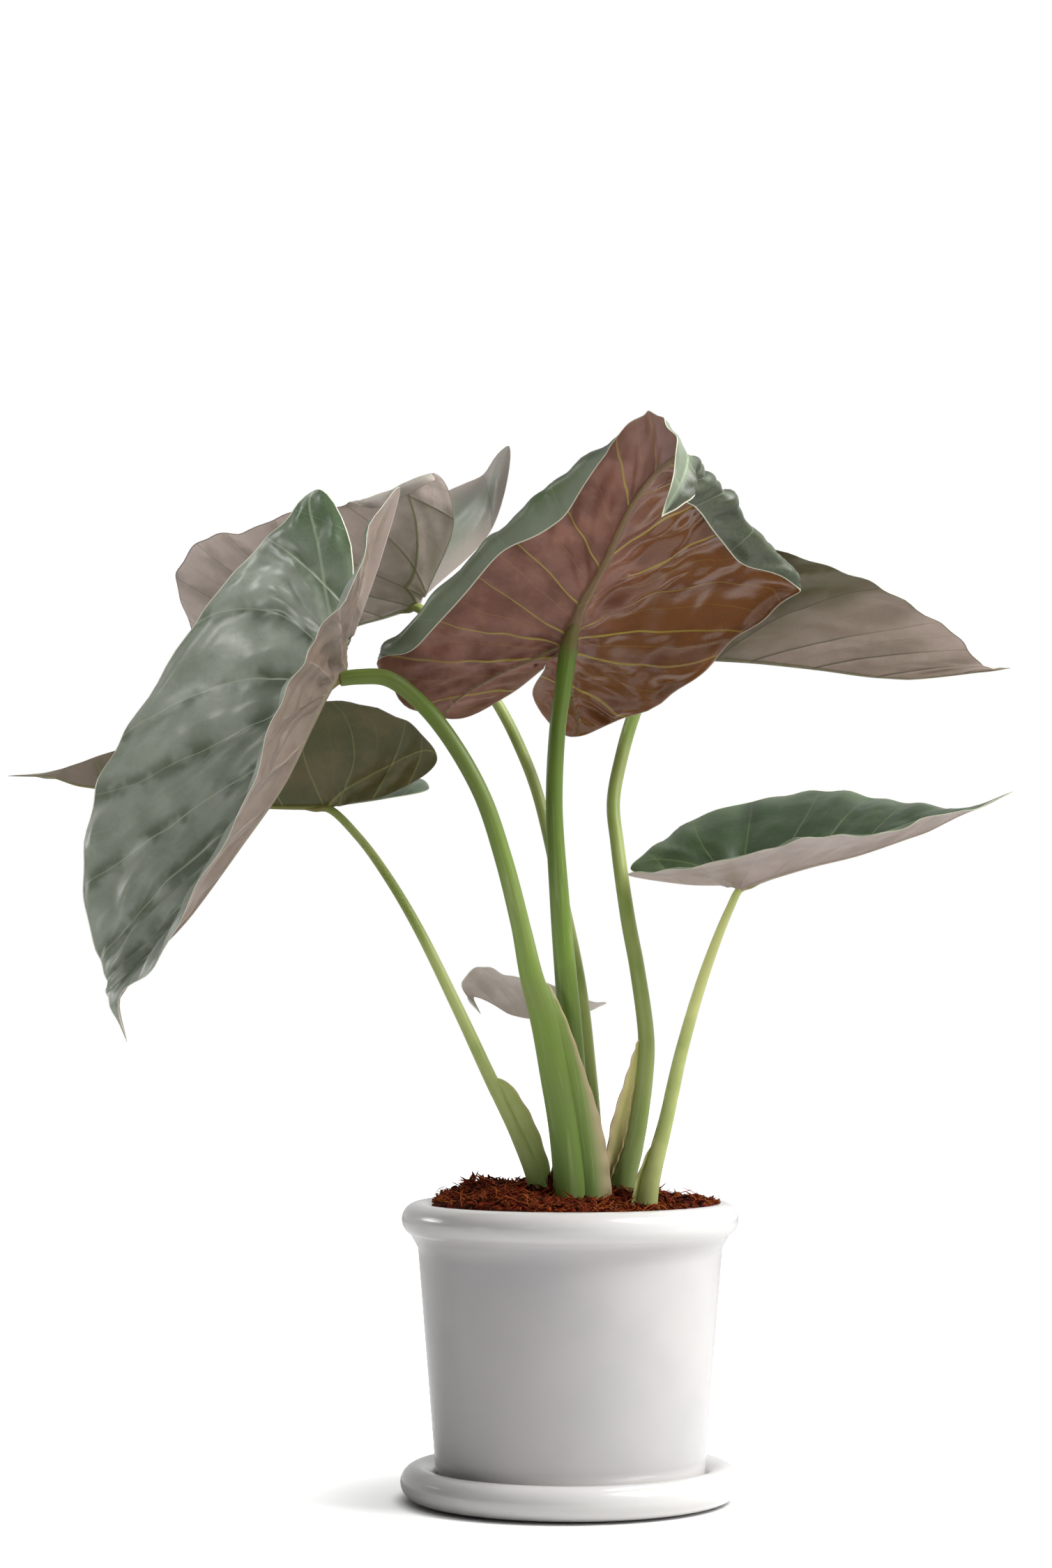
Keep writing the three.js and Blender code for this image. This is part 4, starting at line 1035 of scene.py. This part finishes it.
# %% Outlines of the pot and the saucer, in millimetres from the axis and above the ground
RIM_RADIUS = 95.5
RIM_BEAD = 9.5
POT_TOP = 167
MOUTH_RADIUS = 79.2
NECK_RADIUS = 86.6
NECK_HEIGHT = 146
FOOT_RADIUS = 75.4
WALL = 5
FLOOR = 6
DRAIN_RADIUS = 8
SAUCER_RADIUS = 96
SAUCER_BEAD = 9.5
SAUCER_FLOOR = 4
SAUCER_FOOT = 84
GAP = 0.3
TURNED_SIDES = 192


def arc(radius, centre_r, centre_z, start, stop, count):
    """Points of a round stretch of an outline, angles in degrees from straight outwards."""
    turn = np.radians(np.linspace(start, stop, count))
    return list(zip(centre_r + radius * np.cos(turn), centre_z + radius * np.sin(turn)))


def straight(start, stop, count):
    """Evenly spaced points between two points of an outline, without the last one."""
    return list(zip(np.linspace(start[0], stop[0], count + 1)[:-1],
                    np.linspace(start[1], stop[1], count + 1)[:-1]))


def turned(outline):
    """Turns an outline round the upright axis: each outline point becomes a ring of points. An
    outline that starts and ends on the axis closes in a point there."""
    outline = np.array(outline)
    turn = np.linspace(0, 2 * np.pi, TURNED_SIDES + 1)
    radius, height = outline[:, :1], outline[:, 1:]
    points = np.stack([radius * np.cos(turn), radius * np.sin(turn),
                       np.repeat(height, len(turn), axis=1)], axis=-1)
    points[:, -1] = points[:, 0]
    faces = grid_faces(len(outline), len(turn), True)
    points, faces, _ = weld(points.reshape(-1, 3), faces, {})
    return points, faces


foot = SAUCER_FLOOR + GAP
crest = RIM_RADIUS - RIM_BEAD
pot_outline = [
    (DRAIN_RADIUS, foot + FLOOR), (DRAIN_RADIUS, foot + 0.8), (DRAIN_RADIUS + 0.8, foot),
    *straight((DRAIN_RADIUS + 2, foot), (FOOT_RADIUS - 3, foot), 8),
    *arc(2.5, FOOT_RADIUS - 2.5, foot + 2.5, -90, -4, 7),
    *straight((FOOT_RADIUS + 0.2, foot + 4), (NECK_RADIUS, NECK_HEIGHT), 30),
    *arc(RIM_BEAD, crest, POT_TOP - RIM_BEAD, -62, 135, 44),
    (MOUTH_RADIUS, POT_TOP - RIM_BEAD),
    (NECK_RADIUS - WALL, NECK_HEIGHT),
    *straight((NECK_RADIUS - WALL - 0.1, NECK_HEIGHT - 2), (FOOT_RADIUS - WALL, foot + FLOOR + 4), 20),
    *arc(4, FOOT_RADIUS - WALL - 4, foot + FLOOR + 4, 0, -90, 6),
    *straight((FOOT_RADIUS - WALL - 6, foot + FLOOR), (DRAIN_RADIUS + 1, foot + FLOOR), 8),
    (DRAIN_RADIUS, foot + FLOOR),
]
saucer_crest = SAUCER_RADIUS - SAUCER_BEAD
saucer_outline = [
    (0, 0), *straight((4, 0), (SAUCER_FOOT, 0), 10), (SAUCER_FOOT, 0),
    *arc(SAUCER_BEAD, saucer_crest, SAUCER_BEAD + 0.6, -78, 150, 48),
    (77.2, SAUCER_FLOOR + 3), (76.6, SAUCER_FLOOR + 0.9), (75.4, SAUCER_FLOOR),
    *straight((74, SAUCER_FLOOR), (0, SAUCER_FLOOR), 10), (0, SAUCER_FLOOR),
]
print("outline points:", len(pot_outline), "for the pot and", len(saucer_outline), "for the saucer")

# %% [markdown]
# ## Glaze
# A thick gloss glaze is glass on clay: white with a warm grey tinge, a mirror for the softbox, and
# very slightly wavy, which bends the long reflections. Tiny pinholes and specks keep it from looking
# like plastic. Ceramic glaze has an IOR near 1.55.


# %% The glaze
def glaze():
    """White glaze: faint cloudy tint, sparse specks, whiter on the rim's bead and low down on the
    saucer, a painted light where they face up to the softbox, and slow waves in the gloss coat."""
    material, tree, spot = new_material("white stoneware glaze")
    clouds = add(tree, "ShaderNodeTexNoise", {"Vector": spot, "Scale": 14, "Detail": 3}).outputs["Fac"]
    specks = add(tree, "ShaderNodeTexVoronoi", {"Vector": spot, "Scale": 110}).outputs["Distance"]
    height = add(tree, "ShaderNodeSeparateXYZ", {"Vector": spot}).outputs["Z"]
    # The last two coats are painted light: the rim's bead and everything below 24 mm, the saucer, are
    # painted whiter, as if more lit from above.
    body = painted(tree, "#c3c0bf", [
        ((clouds, 0.4, 0.7, 1.0), "#b9b6b8"), ((specks, 0.07, 0.03, 0.25), "#b9b2a8"),
        ((height, 0.146, 0.152, 1.0), "#d9d7d5"), ((height, 0.024, 0.02, 1.0), "#d9d7d5"),
    ], rise="LINEAR")
    waves = add(tree, "ShaderNodeTexNoise", {"Vector": spot, "Scale": 22, "Detail": 1})
    bump = add(tree, "ShaderNodeBump", {
        "Height": waves.outputs["Fac"], "Strength": 0.12, "Distance": 0.002,
    })
    surface = add(tree, "ShaderNodeBsdfPrincipled", {
        "Base Color": body, "Roughness": 0.2, "IOR": 1.55, "Normal": bump.outputs[0],
        "Coat Weight": 0.6, "Coat Roughness": 0.05,
    })
    add(tree, "ShaderNodeOutputMaterial", {"Surface": surface.outputs["BSDF"]})
    return material


# %% The pot and the saucer
white_glaze = glaze()
for node, outline in (("pot", pot_outline), ("saucer", saucer_outline)):
    make_piece("glazed_" + node, *turned(outline), [white_glaze], node=node,
               record_slot="glazed_stoneware")

# %% [markdown]
# ## Coir
# The plant stands in coconut coir: short red-brown fibres and crumbs of husk, heaped a little to the
# left. The heap is a lumpy round grid that fills the pot, and thousands of small curved fibres and
# chips lie on it, most of them flat and a few standing up.

# %% The heap's ground
SOIL_EDGE = 163
COIR_MOUTH = MOUTH_RADIUS - GAP
SPILL = 6.5                      # how far the coir lies over the rim's inner slope on the right
LUMP_SPOT = (-51, 6)             # the middle of the lump on the left
LUMP_HEIGHT = 4.5
LUMP_SPREAD = 11


def coir_reach(x, y):
    """Radius of the heap's edge on the bearing of x and y: the mouth, and more on the right."""
    return COIR_MOUTH + SPILL * smooth(x / np.maximum(np.hypot(x, y), 1e-6), 0.2, 0.85)


def rim_top(radius):
    """Height of the rim's bead at a radius: its circle's upper half."""
    out = np.clip(radius - (RIM_RADIUS - RIM_BEAD), -RIM_BEAD, RIM_BEAD)
    return POT_TOP - RIM_BEAD + np.sqrt(RIM_BEAD ** 2 - out ** 2)


def mound_height(x, y):
    """Height of the heap in millimetres: a flat-topped dome that leans left, with a lump there, a
    dip in front of the stalks that deepens to the right, and uneven ground, which calms down
    towards the right, where the edge lies on the rim."""
    radius = np.hypot(x, y)
    share = np.clip(radius / coir_reach(x, y), 0, 1)
    dome = (1 - share ** 2) ** (0.42 + 0.5 * smooth(x, 0, 60))
    dip = smooth(-y, -8, 22) * smooth(x, -40, -10) * (6.4 + 4.6 * smooth(x, 5, 45))
    lean = 11.5 - 0.02 * x - 0.01 * y - dip
    away = (x - LUMP_SPOT[0]) ** 2 + (y - LUMP_SPOT[1]) ** 2
    lump = LUMP_HEIGHT * np.exp(-away / (2 * LUMP_SPREAD ** 2))
    uneven = 1.5 * ripples(x, y, 12, 22, 10) * (1 - 0.35 * smooth(x, 20, 60))
    height = SOIL_EDGE + dome * lean + (uneven + lump) * np.minimum(1, (1 - share) * 4)
    return np.where(radius > COIR_MOUTH - 2, np.maximum(height, rim_top(radius) + 0.25), height)


def crumbs(x, y):
    """The heap's fine lumps, from 2 to 14 mm wide: two layers of waves less the size of a third,
    which cuts creases between the lumps. They are lower on the right."""
    creases = np.abs(ripples(x, y, 8, 14, 11))
    fine = 0.9 * ripples(x, y, 4, 7, 12) + 0.7 * ripples(x, y, 2.2, 3.8, 13)
    return (1.4 - 2.9 * creases + fine) * (1 - 0.45 * smooth(x, 15, 60))


# %% The heap as a closed shape
HEAP_RINGS = 110
HEAP_SIDES = 300
share = np.linspace(0, 1, HEAP_RINGS + 1)[1:, None] ** 0.75
turn = np.linspace(0, 2 * np.pi, HEAP_SIDES, endpoint=False)[None, :]
reach = coir_reach(np.cos(turn), np.sin(turn))
x, y = reach * share * np.cos(turn), reach * share * np.sin(turn)
z = mound_height(x, y) + crumbs(x, y) * np.minimum(1, (1 - share) * 12)
sides = [(COIR_MOUTH, POT_TOP - RIM_BEAD), (NECK_RADIUS - WALL - GAP - 0.2, NECK_HEIGHT),
         (FOOT_RADIUS - WALL - GAP - 0.3, foot + FLOOR + 4),
         (FOOT_RADIUS - WALL - 4 - GAP, foot + FLOOR + GAP)]
rings = [np.stack([x, y, z], axis=-1)]
rings += [np.stack([radius * np.cos(turn), radius * np.sin(turn), np.full(turn.shape, float(height))],
                   axis=-1) for radius, height in sides]
heap_points, heap_faces = closed_tube(np.concatenate(rings), [[0, 0, mound_height(0.0, 0.0)]],
                                      [[0, 0, foot + FLOOR + GAP]], flipped=True)
print(f"the heap is {heap_points[:, 2].max():.0f} mm high at most")


# %% Coir material
def coir_fibre(name, dark, middle, light):
    """Coconut husk: matte, with painted shade that darkens the dips between the crumbs, and lighter
    fibres here and there.
    """
    material, tree, spot = new_material(name)
    clumps = add(tree, "ShaderNodeTexNoise", {"Vector": spot, "Scale": 190, "Detail": 5}).outputs["Fac"]
    tone, hollow_shade = (add(tree, "ShaderNodeAttribute", attribute_name=label).outputs["Fac"]
                    for label in ("tone", "hollow_shade"))
    coats = [((clumps, 0.35, 0.62, 1.0), middle), (tone, light), (hollow_shade, dark)]
    bump = add(tree, "ShaderNodeBump", {"Height": clumps, "Strength": 0.8, "Distance": 0.001})
    surface = add(tree, "ShaderNodeBsdfPrincipled", {
        "Base Color": painted(tree, dark, coats, rise="LINEAR"), "Roughness": 0.85,
        "Specular IOR Level": 0.12, "Normal": bump.outputs[0],
    })
    add(tree, "ShaderNodeOutputMaterial", {"Surface": surface.outputs["BSDF"]})
    return material


husk = coir_fibre("coconut husk coir", "#200703", "#6e210c", "#ad5d26")
heap_rise = crumbs(heap_points[:, 0], heap_points[:, 1])
# The heap's second field darkens it where the crumbs dip: painted shade between the crumbs.
make_piece("coir_heap", heap_points, heap_faces, [husk],
           fields={"tone": np.zeros(len(heap_points)), "hollow_shade": 0.9 * smooth(-heap_rise, -0.8, 1.6)},
           node="soil", record_slot="coir")


# %% Loose fibres and chips
HEAP_SHARE = 0.985               # of the heap's radius that fibres lie on
FIBRE_CORNERS = np.array([0, 2.1, 4.2])   # in radians round a fibre


def scattered(count, seed, spot):
    """Random places, evenly by area, all over the heap or in a round spot of x, y and radius."""
    draw = np.random.default_rng(seed)
    middle_x, middle_y, most = spot or (0, 0, HEAP_SHARE)
    radius = most * np.sqrt(draw.uniform(0, 1, count))
    bearing = draw.uniform(0, 2 * np.pi, count)
    if not spot:
        radius = radius * coir_reach(np.cos(bearing), np.sin(bearing))
    x, y = middle_x + radius * np.cos(bearing), middle_y + radius * np.sin(bearing)
    return draw, x, y, mound_height(x, y) + 0.8 * crumbs(x, y)


def fibres(count, seed, length, thick, tilt, tones, steps=6, bends=1.3, spot=None):
    """Curved three-sided hairs: each is an arc in a tilted plane, thick in the middle and pointed at
    both ends. All of them are worked out as one array of fibre, step and corner."""
    draw, x, y, z = scattered(count, seed, spot)
    heading = draw.uniform(0, 2 * np.pi, count)
    size = draw.uniform(*length, count)
    rise = np.radians(draw.uniform(*tilt, count))
    bend = draw.normal(0, bends, count)
    s = np.linspace(-0.5, 0.5, steps)
    angle = heading[:, None] + bend[:, None] * s
    ahead = np.cumsum(np.cos(angle), axis=1) / steps * size[:, None]
    aside = np.cumsum(np.sin(angle), axis=1) / steps * size[:, None]
    ahead -= ahead.mean(axis=1, keepdims=True)
    aside -= aside.mean(axis=1, keepdims=True)
    up = s * size[:, None] * np.sin(rise)[:, None] + draw.uniform(0.0, 1.2, count)[:, None]
    up += 0.45 * size[:, None] * np.clip(np.sin(rise), 0, 1)[:, None] ** 2
    flat = np.cos(rise)[:, None]
    centre = np.stack([x[:, None] + ahead * flat, y[:, None] + aside * flat, z[:, None] + up], axis=-1)
    radius = draw.uniform(*thick, count)[:, None] * (1 - (2 * s) ** 4 * 0.85)
    out = np.stack([-np.sin(angle), np.cos(angle), np.zeros_like(angle)], axis=-1)
    beside, above = (radius[..., None] * wave(FIBRE_CORNERS) for wave in (np.cos, np.sin))
    points = (centre[:, :, None] + out[:, :, None] * beside[..., None]
              + np.array([0, 0, 1.0]) * above[..., None])
    limit = np.hypot(points[..., 0], points[..., 1])
    squeeze = np.minimum(1, (coir_reach(points[..., 0], points[..., 1]) - 0.2) / limit)
    points[..., :2] *= squeeze[..., None]
    base = (np.arange(count) * steps * 3)[:, None, None]
    k = np.arange(steps - 1)[None, :, None] * 3
    j = np.arange(3)[None, None, :]
    a = (base + k + j).ravel()
    b = (base + k + (j + 1) % 3).ravel()
    ends = np.vstack([base[:, 0, 0] + np.array([[0], [2], [1]]),
                      base[:, 0, 0] + (steps - 1) * 3 + np.array([[0], [1], [2]])])
    faces = np.vstack([np.column_stack([a, b, b + 3]), np.column_stack([a, b + 3, a + 3]),
                       ends[:3].T, ends[3:].T])
    tone = np.repeat(draw.choice(tones, count), steps * 3)
    return points.reshape(-1, 3), faces, {"tone": tone}


# %% Coir on the heap: count, seed, length, half thickness, tilt and tones of each kind
points, faces, fields = join([
    fibres(1900, 21, (6, 15), (0.18, 0.38), (-20, 30), [0, 0.1, 0.4, 0.75]),
    fibres(1000, 22, (7, 17), (0.5, 1.0), (-25, 32), [0, 0, 0.15, 0.45]),
    fibres(500, 24, (4, 8), (1.0, 2.2), (-35, 38), [0, 0, 0.15, 0.35], bends=0.5),
    fibres(150, 23, (16, 34), (0.22, 0.42), (-8, 22), [0.5, 0.8, 1], steps=9, bends=1.8),
    fibres(12, 25, (5, 10), (0.9, 1.7), (20, 65), [0.1, 0.2, 0.4], bends=0.8, spot=(-49, 4, 8)),
    fibres(5, 26, (14, 19), (0.8, 1.4), (70, 85), [0], bends=0.4, spot=(-11, -16, 1.5)),
])
make_piece("coir_fibres", points, faces, [husk], fields=fields, record_slot="coir")

# %% [markdown]
# ## Corm
# The corm is buried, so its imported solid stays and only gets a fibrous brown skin.

# %% Corm skin
corm_skin = coir_fibre("fibrous corm skin", "#3b2618", "#6b4a33", "#8a6a4a")
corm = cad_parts["corm"]
corm.data.materials.clear()
corm.data.materials.append(corm_skin)

# %% [markdown]
# ## Sizes, and the end
# The dressed plant is meant to keep the imported one's size, so both boxes are printed side by side.

# %% Sizes
visual_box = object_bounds()
for label, (low, high) in (("packed", cad_box), ("dressed", visual_box)):
    print(label, "size in mm:", [round((b - a) / MM, 1) for a, b in zip(low, high)])
